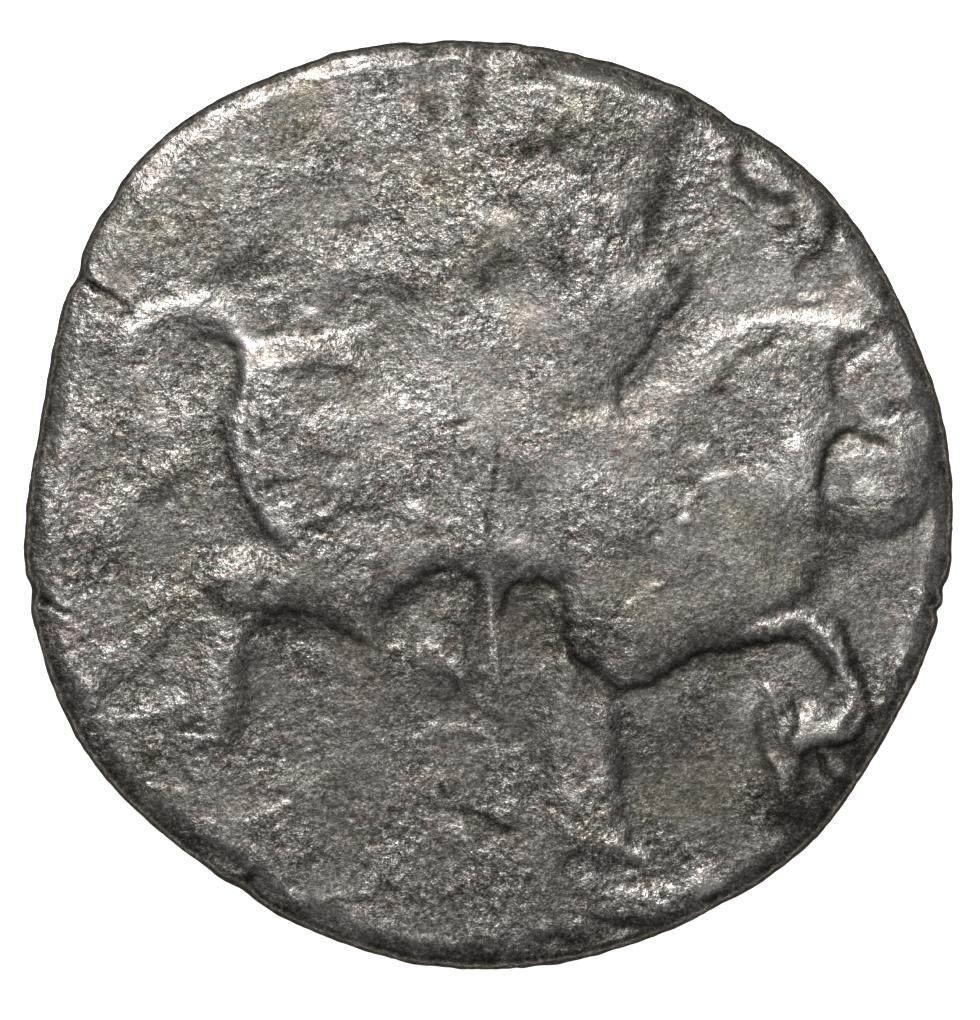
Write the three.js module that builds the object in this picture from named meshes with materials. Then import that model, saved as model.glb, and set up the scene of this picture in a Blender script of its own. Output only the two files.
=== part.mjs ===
// A hand-struck silver coin lying on its worn head side, horse-and-rider side up.
// One solid: a thick, slightly irregular flan with a rounded hammered edge, edge cracks, a worn relief of a
// horse walking right with its near foreleg raised and a rider on it, and a nearly effaced underside.
// Millimetres, +Z up, +Y towards the top of the relief. The origin is on the resting plane, under the middle
// of the outline's bounding box.
import * as THREE from "three";

// ---- driving sizes, mm ----
const MEAN_RADIUS = 12.05; // of the outline, about the origin
const FIELD_Z = 2.45; // height of the flat field round the horse
const FIELD_CROWN = 0.1; // how much the middle of the field stands over its border
const SHOULDER = 0.55; // width of the rounded-off border of the upper face
const SHOULDER_DROP = 0.11; // how far that border falls
const EDGE_ROUND = 0.26; // how far the faces' borders lie inside the widest line of the edge
const REST_RADIUS = 8.3; // the worn-flat patch that the coin rests on, mean radius
const UNDER_FIELD = 0.2; // how far the field of the underside stands off the resting plane
const UNDER_RIM = 0.42; // the same at the edge
const UNDER_ROUND = 1.0; // width of the rounded border of the underside
const BORDER_RING = 10.2; // radius of what is left of the raised border of the underside
const BORDER_WIDTH = 0.75; // half width of that border
const BORDER_RISE = 0.1; // how far it stands out of the field
const WEAR = 0.06; // height of the slow unevenness left by hammering and wear
const LEAST_STRIP = 0.36; // least half width of a ridge or groove that the mesh's rings can carry
const STRIP_GAIN = 1.9; // ridges and grooves are this much fuller here than on the finer visual model,
const FORM_GAIN = 1.2; // and the raised masses this much, so that they still read on the coarser mesh
const TOP_RINGS = 33; // mesh rings of the upper face
const UNDER_RINGS = 14; // mesh rings of the underside
const SIDE_RINGS = 3; // mesh rings of the edge

// Outline: the mean radius plus small cosine and sine parts, harmonic by harmonic.
const HARMONICS = [
  [-0.127, 0.066], [-0.01, -0.133], [0.112, 0.01], [-0.087, 0.09], [0.043, -0.096],
  [-0.011, 0.055], [0.028, -0.03], [0.03, -0.005], [0, -0.01], [0.008, -0.007],
  [-0.011, 0.002], [-0.009, 0.013], [-0.011, -0.01], [0.004, 0.006],
];

// ---- the relief, worn and soft ----
// FORMS are raised masses inside a smooth closed line, the highest counting where they overlap; RIDGES stand on
// them along an open line; GROOVES are cut along a line; SPOTS are soft swellings and hollows; CRACKS run in from
// the edge. Widths are half widths.
const FORMS = [
  { name: "haunch", rise: 0.18, edge: 1.13, line: [
    [-6.15, 3.93], [-5.5, 4.09], [-4.86, 4.21], [-3.7, 4.27], [-1.77, 2.69], [-1.64, 0.12],
    [-2.18, -1.69], [-2.59, -2.72], [-2.95, -3.75], [-3.88, -3.29], [-4.81, -2.67], [-5.89, -2.51],
    [-5.68, -1.82], [-5.43, -1.22], [-6.15, -0.24], [-6.46, 0.58], [-6.61, 1.66], [-6.46, 2.75]] },
  { name: "barrel", rise: 0.18, edge: 1.13, line: [
    [-3.31, 2.69], [-0.48, 2.95], [2.87, 2.69], [4.16, 1.66], [3.91, -0.92], [2.93, -2.62],
    [2.05, -2.41], [1.59, -2], [0.43, -1.84], [-0.48, -1.69], [-1.51, -1.79], [-2.49, -2.51],
    [-3.57, -1.43]] },
  { name: "chest", rise: 0.18, edge: 1.13, line: [
    [2.62, 1.92], [4.94, 2.69], [7.77, 2.69], [8.85, 0.89], [8.78, -0.55], [8.6, -1.43],
    [8.18, -2.41], [7.41, -3.13], [6.35, -3.6], [5.45, -3.78], [4.63, -4.27], [3.34, -4.63],
    [2.62, -4.21], [2, -3.49], [1.79, -2.46], [2.1, -0.4]] },
  { name: "neck", rise: 0.18, edge: 2.06, line: [
    [3.44, 2.08], [4.11, 3.05], [5.19, 4.03], [6.48, 4.58], [8.03, 4.94], [9.63, 4.99],
    [10.25, 4.7], [9.68, 4.16], [9.01, 3.83], [8.78, 3.29], [9.01, 2.59], [8.7, 1.4], [7, 0.12],
    [4.42, 0.63]] },
  { name: "rider_mass", rise: 0.18, edge: 2.84, line: [
    [-2.8, 1.92], [-2.54, 4.5], [-1.77, 7.85], [-0.48, 10.69], [1.84, 12.08], [3.91, 11.56],
    [5.25, 10.63], [4.78, 9.14], [4.37, 7.85], [4.27, 6.72], [4.78, 6.3], [5.32, 5.92],
    [5.14, 5.27], [4.47, 4.34], [3.7, 3.42], [3.29, 2.75], [3.18, 1.15], [0.3, -0.4],
    [-2.28, 0.12]] },
  { name: "muzzle", rise: 0.18, edge: 1.13, line: [
    [9.01, 1.51], [9.78, 1.82], [10.56, 1.82], [11.12, 1.51], [11.33, 0.94], [11.1, 0.17],
    [10.56, -0.45], [9.73, -0.66], [9.06, -0.35], [8.7, 0.27], [8.7, 0.99]] },
  { name: "cheek_disc", rise: 0.08, edge: 0.57, line: [
    [9.11, 2.59], [9.06, 3.21], [9.37, 3.73], [9.99, 4.03], [10.71, 4.09], [11.12, 3.67],
    [11.23, 3.05], [10.97, 2.59], [10.3, 2.38], [9.63, 2.33]] },
  { name: "standing_leg", rise: 0.12, edge: 0.77, line: [
    [2, -3.75], [2.87, -4.58], [3.24, -4.78], [3.29, -6.07], [3.39, -7.62], [3.6, -8.91],
    [2.46, -9.11], [1.64, -8.13], [1.48, -6.07], [1.64, -4.52]] },
  { name: "belly_lobe", rise: 0.08, edge: 0.72, line: [
    [-2.38, -3.03], [-1.82, -2.62], [-0.99, -2.46], [-0.53, -2.82], [-0.48, -3.75], [-0.68, -4.58],
    [-1.35, -4.52], [-2.23, -4.11]] },
  { name: "hind_shank", rise: 0.12, edge: 1.03, line: [
    [-7.13, -1.84], [-5.84, -1.69], [-5.79, -2.46], [-6.1, -3.49], [-6.3, -4.78], [-6.46, -5.94],
    [-7.23, -6.17], [-7.75, -5.5], [-7.59, -4.27], [-7.33, -2.98]] },
  { name: "hoof", rise: 0.15, edge: 0.57, line: [
    [7.82, -5.45], [8.34, -5.19], [8.91, -5.4], [9.32, -5.66], [9.11, -6.12], [8.44, -6.17],
    [7.93, -6.33], [7.62, -6.12]] },
];
const RIDGES = [
  { name: "tail_arch", rise: 0.07, from: 0.52, to: 0.46, line: [
    [-9.4, 3.73], [-9.19, 4.34], [-8.67, 4.81], [-7.95, 5.01], [-7.23, 4.99], [-6.61, 4.63],
    [-6.23, 4.01]] },
  { name: "tail_outer", rise: 0.018, from: 0.41, to: 0.46, line: [
    [-9.29, 3.98], [-9.45, 3.21], [-9.4, 2.44], [-8.98, 1.66]] },
  { name: "tail_strand", rise: 0.05, from: 0.41, to: 0.57, line: [
    [-7.54, 1.35], [-8.06, 0.94], [-8.67, 0.48], [-9.45, -0.04], [-10.22, -0.71]] },
  { name: "rump_rim", rise: 0.035, from: 0.21, to: 0.21, line: [
    [-6.25, 4.09], [-6.2, 3.47], [-6.35, 2.75], [-6.46, 1.92], [-6.41, 1.15], [-6.15, 0.37],
    [-5.74, -0.3], [-5.12, -0.99]] },
  { name: "rump_stroke", rise: 0.022, from: 0.15, to: 0.1, line: [
    [-6.2, 4.01], [-5.79, 4.11], [-5.32, 4.19], [-4.73, 4.27], [-4.09, 4.34], [-3.62, 4.32]] },
  { name: "rump_knot", rise: 0.018, from: 0.31, to: 0.31, line: [
    [-6.51, 4.4], [-6.2, 3.98], [-5.99, 3.83]] },
  { name: "far_pastern", rise: 0.045, from: 0.34, to: 0.36, line: [
    [-9.81, -5.66], [-9.04, -5.48], [-8.26, -5.3], [-7.75, -5.27]] },
  { name: "near_hoof", rise: 0.03, from: 0.18, to: 0.18, line: [
    [-7.85, -6.02], [-7.33, -6.05], [-6.82, -6.02]] },
  { name: "far_shank", rise: 0.04, from: 0.36, to: 0.31, line: [
    [-7.69, -2.2], [-8.31, -2.98], [-8.98, -3.8]] },
  { name: "hock_fold", rise: 0.015, from: 0.15, to: 0.13, line: [
    [-7.95, -3.18], [-7.59, -3.03], [-7.18, -2.93]] },
  { name: "foreleg", rise: 0.08, from: 0.26, to: 0.28, line: [
    [6.59, -3.29], [7.39, -3.16], [8.18, -2.98], [8.7, -3.39], [9.06, -4.01], [9.29, -4.65],
    [9.32, -5.25], [9.06, -5.81]] },
  { name: "curl", rise: 0.06, from: 0.15, to: 0.13, line: [
    [7.1, -4.58], [7.36, -4.99], [7.51, -5.56], [7.46, -6.17]] },
  { name: "curl_foot", rise: 0.05, from: 0.18, to: 0.23, line: [
    [7.36, -6.48], [7.57, -7], [7.67, -7.62]] },
  { name: "rim_lump", rise: 0.027, from: 0.28, to: 0.23, line: [
    [8.65, -6.69], [9.11, -6.9], [9.47, -6.64]] },
  { name: "rim_fold", rise: 0.021, from: 0.15, to: 0.15, line: [
    [9.99, -4.78], [10.4, -4.37], [10.81, -4.01], [11.28, -3.6]] },
  { name: "rider_shin", rise: 0.04, from: 0.21, to: 0.18, line: [
    [0.06, -1.59], [0.09, -2.98], [0.19, -4.83]] },
  { name: "rider_foot", rise: 0.028, from: 0.26, to: 0.18, line: [
    [-1.66, -5.89], [-1.04, -5.79], [-0.37, -5.84], [0.09, -6.07]] },
  { name: "lobe_fold", rise: 0.018, from: 0.18, to: 0.15, line: [
    [-1.66, -3.6], [-1.15, -3.91], [-0.58, -4.47]] },
  { name: "crest", rise: 0.032, from: 0.15, to: 0.34, line: [
    [5.45, 3.8], [5.84, 4.21], [6.48, 4.5], [7.26, 4.68], [8.16, 4.76], [9.06, 4.7], [9.83, 4.6]] },
  { name: "crest_low", rise: 0.018, from: 0.46, to: 0.52, line: [
    [3.8, 2.23], [4.21, 2.69], [4.83, 3]] },
  { name: "cheek_rim", rise: 0.015, from: 0.15, to: 0.15, line: [
    [9.22, 2.59], [9.16, 3.16], [9.53, 3.67], [10.5, 4.29]] },
  { name: "jaw", rise: 0.054, from: 0.21, to: 0.21, line: [
    [9.47, 2.44], [10.04, 2.13], [10.76, 2.18]] },
  { name: "right_rim", rise: 0.097, from: 0.23, to: 0.21, line: [
    [11.48, 3.98], [11.74, 2.69], [11.9, 0.89], [11.79, -0.92], [11.64, -1.84]] },
  { name: "exergue_bar", rise: 0.05, from: 0.23, to: 0.23, line: [
    [2.87, -8.75], [3.44, -8.8], [4.11, -9.22]] },
  { name: "exergue_foot", rise: 0.05, from: 0.23, to: 0.21, line: [
    [3.18, -9.99], [3.8, -10.09], [4.42, -10.3], [5.19, -10.4]] },
  { name: "exergue_mid", rise: 0.021, from: 0.15, to: 0.15, line: [
    [4.27, -9.99], [4.83, -9.91]] },
  { name: "exergue_end", rise: 0.055, from: 0.26, to: 0.26, line: [
    [5.45, -9.37], [5.5, -9.99]] },
  { name: "legend_1", rise: 0.019, from: 0.13, to: 0.13, line: [
    [6.9, 9.24], [7.26, 9.06], [7.49, 8.8]] },
  { name: "legend_2", rise: 0.018, from: 0.13, to: 0.13, line: [
    [6.61, 8.73], [6.79, 8.47], [7.1, 8.26]] },
  { name: "legend_3", rise: 0.034, from: 0.15, to: 0.15, line: [
    [7.51, 8.06], [7.98, 8.13], [8.49, 7.85]] },
  { name: "legend_4", rise: 0.035, from: 0.1, to: 0.1, line: [
    [8.08, 7.8], [8.13, 7.33]] },
  { name: "legend_5", rise: 0.051, from: 0.15, to: 0.13, line: [
    [6.12, 8.16], [6.48, 7.9], [6.84, 7.64]] },
  { name: "field_streak_1", rise: 0.018, from: 0.18, to: 0.15, line: [
    [-6.1, -8.08], [-5.5, -7.85], [-4.96, -7.64]] },
  { name: "field_streak_2", rise: 0.034, from: 0.1, to: 0.1, line: [
    [-4.45, -10.2], [-3.7, -10.14], [-2.95, -10.07]] },
  { name: "field_streak_5", rise: 0.015, from: 0.13, to: 0.1, line: [
    [5.5, 0.58], [6.02, 0.71], [6.53, 0.84], [6.84, 0.53]] },
  { name: "field_streak_7", rise: 0.019, from: 0.13, to: 0.13, line: [
    [-6.61, 8.75], [-5.94, 8.8], [-5.22, 8.67]] },
  { name: "rim_lip_2", rise: 0.072, from: 0.23, to: 0.23, line: [
    [-5.68, 10.63], [-4.76, 11.05], [-3.73, 11.15], [-2.9, 11.41], [-2.23, 11.51]] },
  { name: "rim_lip_3", rise: 0.095, from: 0.21, to: 0.21, line: [
    [-1.97, 11.46], [-1.25, 11.59], [-0.58, 11.56]] },
  { name: "rim_lip_4", rise: 0.015, from: 0.23, to: 0.23, line: [
    [1.53, 11.2], [2.31, 10.94], [2.98, 10.84], [3.75, 10.69], [4.27, 10.43]] },
];
const GROOVES = [
  { name: "tail_line", depth: 0.028, from: 0.18, to: 0.15, line: [
    [-7.95, 4.24], [-7.33, 4.29], [-6.77, 4.14], [-6.51, 3.78], [-6.48, 3.36], [-6.69, 2.77],
    [-6.84, 2.18], [-6.84, 1.61], [-6.66, 1.02], [-6.35, 0.37], [-5.94, -0.45], [-5.37, -1.22]] },
  { name: "stroke_shadow", depth: 0.018, from: 0.08, to: 0.08, line: [
    [-5.94, 4.34], [-5.32, 4.4], [-4.65, 4.47], [-3.93, 4.58]] },
  { name: "belly_line", depth: 0.03, from: 0.21, to: 0.13, line: [
    [-6.05, -2.62], [-5.43, -2.77], [-4.76, -2.8], [-4.14, -3.08], [-3.57, -3.49], [-2.75, -3.78]] },
  { name: "arc_1", depth: 0.037, from: 0.23, to: 0.1, line: [
    [-2.64, -2.64], [-2.18, -2.2], [-1.64, -1.87], [-0.99, -1.69], [-0.58, -1.77], [-0.32, -2.02],
    [-0.22, -2.41], [-0.22, -2.82]] },
  { name: "arc_2", depth: 0.037, from: 0.1, to: 0.18, line: [
    [0.43, -3.03], [0.43, -2.56], [0.55, -2.15], [1.07, -2], [1.64, -2.1], [1.92, -2.51],
    [1.95, -3.11], [2.08, -3.7], [2.44, -4.11], [2.98, -4.45]] },
  { name: "chest_line", depth: 0.037, from: 0.15, to: 0.15, line: [
    [3.18, -4.73], [3.91, -4.68], [4.47, -4.47], [5.07, -4.09], [5.61, -3.8], [6.48, -3.75],
    [7.05, -3.6], [7.64, -3.47], [8.08, -3.54], [8.49, -3.88], [8.8, -4.4], [9.01, -4.94]] },
  { name: "shoulder_line", depth: 0.035, from: 0.21, to: 0.13, line: [
    [5.14, 6.35], [5.27, 5.84], [4.99, 5.22], [4.47, 4.58], [4.06, 3.98], [3.65, 3.47],
    [3.36, 2.9], [3.42, 2.28]] },
  { name: "palm_line", depth: 0.02, from: 0.39, to: 0.31, line: [
    [5.3, 10.38], [4.99, 9.65], [4.63, 8.98], [4.55, 8.11], [4.34, 7.44], [4.16, 6.66]] },
  { name: "neck_chest", depth: 0.018, from: 0.36, to: 0.18, line: [
    [8.8, -0.45], [8.62, -1.12], [8.47, -1.79], [8.18, -2.38], [7.67, -2.67], [7.1, -2.87],
    [6.69, -3.03]] },
  { name: "mane_line", depth: 0.034, from: 0.28, to: 0.18, line: [
    [5.86, 2.64], [6.02, 3.11], [6.28, 3.54], [6.69, 3.88], [7.21, 4.14], [7.77, 4.4]] },
  { name: "ear_line", depth: 0.032, from: 0.15, to: 0.13, line: [
    [9.89, 4.24], [9.37, 4.16], [9.01, 3.93], [8.85, 3.52], [8.93, 3], [9.09, 2.64]] },
  { name: "cheek_line", depth: 0.033, from: 0.18, to: 0.13, line: [
    [10.61, 1.4], [10.09, 1.61], [9.63, 1.79], [9.22, 1.87], [8.91, 1.64], [8.67, 1.15],
    [8.57, 0.58], [8.65, 0.12], [8.96, -0.24]] },
  { name: "muzzle_line", depth: 0.025, from: 0.23, to: 0.18, line: [
    [11.64, 2.13], [11.48, 1.4], [11.41, 0.63], [11.23, -0.09], [10.84, -0.61], [10.3, -0.86],
    [9.63, -0.73]] },
  { name: "leg_outer", depth: 0.033, from: 0.15, to: 0.18, line: [
    [8.8, -2.72], [9.22, -3.39], [9.47, -4.06], [9.68, -4.78], [9.83, -5.35], [9.58, -5.92],
    [9.11, -6.25], [8.6, -6.2], [8.18, -6.46], [8.06, -6.97], [8, -7.67]] },
  { name: "curl_left", depth: 0.02, from: 0.15, to: 0.18, line: [
    [7.02, -4.94], [6.95, -5.56], [7.08, -6.33], [7.31, -7.1], [7.57, -7.77]] },
  { name: "curl_right", depth: 0.059, from: 0.1, to: 0.1, line: [
    [7.77, -5.07], [7.9, -5.56], [7.69, -6.17]] },
  { name: "lump_line", depth: 0.075, from: 0.1, to: 0.13, line: [
    [8.49, -6.38], [8.8, -7], [9.37, -7.28]] },
  { name: "shank_edge", depth: 0.025, from: 0.39, to: 0.31, line: [
    [-6.35, -2.46], [-6.2, -3.75], [-6.33, -5.04], [-6.51, -6.02]] },
  { name: "far_leg_line", depth: 0.015, from: 0.1, to: 0.08, line: [
    [-7.85, -2.87], [-8.29, -3.52], [-8.8, -4.19], [-9.4, -4.63], [-9.96, -5.07], [-10.27, -5.61]] },
  { name: "lobe_line", depth: 0.015, from: 0.13, to: 0.1, line: [
    [-1.66, -4.37], [-0.99, -4.47], [-0.68, -4.99]] },
  { name: "scratch", depth: 0.02, from: 0.07, to: 0.06, line: [
    [0.3, 1.71], [0.19, 0.89], [0.06, -0.01], [-0.09, -1.12]] },
  { name: "exergue_line", depth: 0.015, from: 0.15, to: 0.13, line: [
    [3.03, -9.16], [3.7, -9.34], [4.32, -9.73]] },
  { name: "low_gash", depth: 0.022, from: 0.13, to: 0.13, line: [
    [-0.79, -7.88], [-0.22, -8.03], [0.24, -8.31], [0.66, -8.44]] },
  { name: "low_gash_2", depth: 0.041, from: 0.1, to: 0.1, line: [
    [1.48, -7.62], [2, -8.03], [2.46, -8.39]] },
  { name: "legend_gap_1", depth: 0.03, from: 0.18, to: 0.23, line: [
    [6.46, 9.4], [6.38, 8.83], [6.51, 8.37], [6.92, 8.03], [7.41, 7.85], [7.98, 7.69]] },
  { name: "legend_gap_2", depth: 0.025, from: 0.26, to: 0.15, line: [
    [8.83, 7.69], [8.8, 6.92], [8.49, 6.43], [8.18, 6.23], [7.88, 5.68]] },
  { name: "top_hook", depth: 0.03, from: 0.15, to: 0.13, line: [
    [1.79, 9.71], [1.74, 9.14], [2, 8.78], [2.67, 8.52]] },
  { name: "top_band", depth: 0.015, from: 0.31, to: 0.26, line: [
    [-0.17, 11.87], [-0.32, 10.99], [-0.48, 10.22], [-0.43, 9.5]] },
];
const SPOTS = [
  { name: "haunch_hollow", rise: -0.033, at: [-4.65, 3.39], size: [0.88, 0.28], turn: 4 },
  { name: "haunch_dot", rise: -0.024, at: [-5.84, 2.02], size: [0.21, 0.21], turn: 0 },
  { name: "haunch_pit_3", rise: -0.023, at: [-3.31, -0.12], size: [0.72, 0.15], turn: 4 },
  { name: "haunch_pit_4", rise: -0.061, at: [-4.5, -0.66], size: [0.52, 0.13], turn: -14 },
  { name: "haunch_swell_1", rise: 0.04, at: [-4.09, 2.18], size: [0.88, 0.31], turn: 0 },
  { name: "haunch_swell_2", rise: 0.017, at: [-4.03, 0.53], size: [0.46, 0.18], turn: 0 },
  { name: "haunch_swell_3", rise: 0.071, at: [-4.19, -0.3], size: [0.36, 0.15], turn: 0 },
  { name: "hock", rise: 0.127, at: [-6.25, -1.59], size: [0.77, 0.52], turn: 0 },
  { name: "hock_pit", rise: -0.033, at: [-7.13, -2.26], size: [0.31, 0.36], turn: 0 },
  { name: "belly_hollow", rise: -0.015, at: [-5.27, -2.82], size: [0.62, 0.23], turn: 0 },
  { name: "tail_hollow_3", rise: -0.017, at: [-7.44, 1.92], size: [0.62, 0.77], turn: 0 },
  { name: "tail_swell_2", rise: 0.047, at: [-7.8, 2.28], size: [0.31, 0.36], turn: 0 },
  { name: "rider_swell", rise: 0.031, at: [3.7, 5.53], size: [0.98, 0.41], turn: 0 },
  { name: "arm_pit", rise: -0.033, at: [4.78, 5.94], size: [0.23, 0.23], turn: 0 },
  { name: "palm_hollow_2", rise: -0.031, at: [2.15, 9.34], size: [0.23, 0.18], turn: 0 },
  { name: "palm_hollow_3", rise: -0.029, at: [0.66, 7.69], size: [0.28, 0.26], turn: 0 },
  { name: "palm_swell_2", rise: 0.016, at: [2.15, 8.47], size: [0.36, 0.23], turn: 0 },
  { name: "left_swell_1", rise: 0.042, at: [-3.11, 6.25], size: [0.93, 0.36], turn: 0 },
  { name: "left_swell_2", rise: 0.02, at: [-8.16, 7.02], size: [0.31, 0.26], turn: 0 },
  { name: "left_swell_4", rise: 0.024, at: [-7.31, 5.27], size: [1.03, 0.23], turn: 0 },
  { name: "field_swell_1", rise: 0.043, at: [8.34, 5.32], size: [0.36, 0.15], turn: 0 },
  { name: "field_swell_2", rise: 0.028, at: [9.58, 5.58], size: [0.57, 0.26], turn: 20 },
  { name: "face_hollow", rise: -0.036, at: [10.09, 4.7], size: [0.41, 0.26], turn: -20 },
  { name: "muzzle_swell", rise: 0.025, at: [9.73, 0.37], size: [0.41, 0.31], turn: 0 },
  { name: "neck_swell_2", rise: 0.025, at: [8.08, 1.51], size: [0.57, 0.41], turn: 0 },
  { name: "neck_swell_3", rise: 0.038, at: [5.45, 1.3], size: [0.36, 0.21], turn: 0 },
  { name: "flank_pit_1", rise: -0.015, at: [5.14, 0.61], size: [0.23, 0.15], turn: 0 },
  { name: "flank_pit_2", rise: -0.015, at: [3.8, -0.32], size: [0.23, 0.15], turn: 0 },
  { name: "flank_pit_3", rise: -0.052, at: [4.29, -0.79], size: [0.18, 0.1], turn: 0 },
  { name: "flank_pit_4", rise: -0.026, at: [5.58, 0.32], size: [0.15, 0.21], turn: 0 },
  { name: "flank_swell_2", rise: 0.05, at: [5.04, -0.43], size: [0.21, 0.15], turn: 0 },
  { name: "girth_swell_3", rise: 0.036, at: [-1.92, -0.14], size: [0.36, 0.23], turn: 0 },
  { name: "hoof_hollow", rise: -0.019, at: [7.77, -8.13], size: [0.52, 0.31], turn: 25 },
  { name: "hoof_hollow_2", rise: -0.034, at: [9.11, -7.21], size: [0.31, 0.21], turn: 30 },
  { name: "leg_swell", rise: 0.015, at: [2.98, -7], size: [0.36, 0.36], turn: 0 },
  { name: "low_hollow_1", rise: -0.16, at: [3.44, -10.81], size: [0.82, 0.23], turn: -6 },
  { name: "low_hollow_3", rise: -0.16, at: [-6.46, -9.53], size: [1.13, 0.41], turn: -34 },
  { name: "low_hollow_4", rise: -0.03, at: [-2.49, -9.94], size: [0.23, 0.21], turn: 0 },
  { name: "low_swell_1", rise: 0.016, at: [-0.73, -8.49], size: [0.26, 0.23], turn: 0 },
  { name: "low_swell_3", rise: 0.017, at: [2.51, -9.63], size: [0.36, 0.21], turn: 0 },
  { name: "low_swell_4", rise: 0.031, at: [-7.9, -7.44], size: [0.23, 0.18], turn: 0 },
  { name: "low_swell_5", rise: 0.015, at: [-6.61, -8.29], size: [0.36, 0.23], turn: 0 },
  { name: "low_swell_6", rise: 0.037, at: [3.8, -9.04], size: [0.36, 0.21], turn: 0 },
  { name: "barrel_pit_1", rise: -0.019, at: [-1.04, -5.04], size: [0.52, 0.15], turn: 0 },
  { name: "field_pit_1", rise: -0.022, at: [-4.86, -4.32], size: [0.26, 0.21], turn: 0 },
  { name: "field_pit_2", rise: -0.023, at: [-1.97, -6.2], size: [0.21, 0.13], turn: 0 },
  { name: "belly_shade", rise: -0.066, at: [-1.25, -3.03], size: [3.09, 0.88], turn: 0 },
  { name: "chest_shade_2", rise: -0.039, at: [8.03, -1.43], size: [0.77, 1.55], turn: -10 },
  { name: "field_shade_3", rise: -0.132, at: [-4.86, -5.04], size: [1.55, 1.55], turn: 0 },
  { name: "far_shade", rise: -0.018, at: [-9.5, -1.43], size: [1.55, 0.77], turn: 0 },
  { name: "withers", rise: 0.027, at: [3.91, 1.66], size: [1.55, 1.03], turn: 0 },
  { name: "chest_swell", rise: 0.083, at: [5.45, -0.4], size: [2.06, 1.29], turn: 0 },
  { name: "throat_swell", rise: 0.062, at: [8.18, 0.89], size: [0.67, 1.29], turn: -14 },
  { name: "shank_shade_2", rise: -0.063, at: [-5.37, -3.18], size: [0.88, 0.36], turn: -10 },
  { name: "leg_shade_2", rise: -0.064, at: [1.07, -2.98], size: [0.62, 1.03], turn: 0 },
  { name: "low_shade_2", rise: -0.16, at: [2.87, -11.23], size: [1.55, 0.31], turn: 4 },
  { name: "left_swell_7", rise: 0.065, at: [-10.27, -4.78], size: [0.41, 0.52], turn: 0 },
  { name: "legend_shade", rise: -0.085, at: [9.09, 7.31], size: [0.36, 0.62], turn: 0 },
  { name: "rim_shade", rise: -0.047, at: [-7.69, -8.7], size: [1.03, 0.36], turn: -40 },
  { name: "right_swell_3", rise: 0.065, at: [11.28, -2.56], size: [0.31, 0.46], turn: 0 },
  { name: "belly_shade_4", rise: -0.026, at: [-2.69, -1.77], size: [0.36, 0.31], turn: 0 },
];
const CRACKS = [
  { name: "crack_west_upper", bearing: 150.6, half: 1.5, notch: 0.22, depth: 0.42, width: 0.28, line: [
    [-10.89, 6.25], [-10.53, 5.94], [-10.17, 5.61], [-9.76, 5.37], [-9.34, 5.12], [-9.09, 4.7]] },
  { name: "crack_west_lower", bearing: 190.4, half: 1.6, notch: 0.22, depth: 0.4, width: 0.31, line: [
    [-12.08, -1.95], [-11.66, -2.31], [-11.25, -2.62], [-10.79, -2.87], [-10.22, -3.05]] },
  { name: "fold_south_west", bearing: 237.2, half: 2.2, notch: 0.14, depth: 0.5, width: 0.41, line: [
    [-6.51, -10.09], [-6.25, -9.73], [-5.84, -9.47]] },
  { name: "chip_east", bearing: 349.6, half: 0.9, notch: 0.13, depth: 0.35, width: 0.21, line: [
    [12.21, -2.2], [11.79, -2.36], [11.54, -2.51]] },
  { name: "chip_east_low", bearing: 346.6, half: 0.7, notch: 0.09, depth: 0.25, width: 0.18, line: [
    [11.95, -2.77], [11.64, -2.8], [11.43, -2.82]] },
];

// ---- helpers ----
const clamp = (v, a, b) => Math.min(b, Math.max(a, v));
const smooth = (t) => t * t * (3 - 2 * t);
const bump = (u) => (Math.abs(u) < 1 ? (1 - u * u) ** 2 : 0);

// A smooth line through its control points, as a polyline with its bounding box.
function smoothLine(points, closed, perSpan) {
  const curve = new THREE.CatmullRomCurve3(points.map(([x, y]) => new THREE.Vector3(x, y, 0)), closed, "catmullrom", 0.5);
  const line = curve.getPoints((closed ? points.length : points.length - 1) * perSpan).map((p) => [p.x, p.y]);
  const length = [0];
  for (let i = 1; i < line.length; i++)
    length.push(length[i - 1] + Math.hypot(line[i][0] - line[i - 1][0], line[i][1] - line[i - 1][1]));
  const xs = line.map((p) => p[0]), ys = line.map((p) => p[1]);
  return { line, length, box: [Math.min(...xs), Math.min(...ys), Math.max(...xs), Math.max(...ys)] };
}

const near = (s, x, y, pad) =>
  x > s.box[0] - pad && y > s.box[1] - pad && x < s.box[2] + pad && y < s.box[3] + pad;

// Distance to a polyline, and how far along it the nearest point is, from 0 to 1.
function distanceTo(s, x, y) {
  let best = Infinity, at = 0;
  for (let i = 0; i + 1 < s.line.length; i++) {
    const [ax, ay] = s.line[i], [bx, by] = s.line[i + 1];
    const dx = bx - ax, dy = by - ay;
    const t = clamp(((x - ax) * dx + (y - ay) * dy) / (dx * dx + dy * dy + 1e-12), 0, 1);
    const d = Math.hypot(x - ax - t * dx, y - ay - t * dy);
    if (d < best) {
      best = d;
      at = s.length[i] + t * (s.length[i + 1] - s.length[i]);
    }
  }
  return [best, at / s.length[s.length.length - 1]];
}

function isInside(s, x, y) {
  let within = false;
  for (let i = 0, j = s.line.length - 1; i < s.line.length; j = i++) {
    const [xi, yi] = s.line[i], [xj, yj] = s.line[j];
    if (yi > y !== yj > y && x < ((xj - xi) * (y - yi)) / (yj - yi) + xi) within = !within;
  }
  return within;
}

for (const f of FORMS) f.curve = smoothLine(f.line, true, 6);
for (const r of [...RIDGES, ...GROOVES, ...CRACKS]) r.curve = smoothLine(r.line, false, 6);

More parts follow.
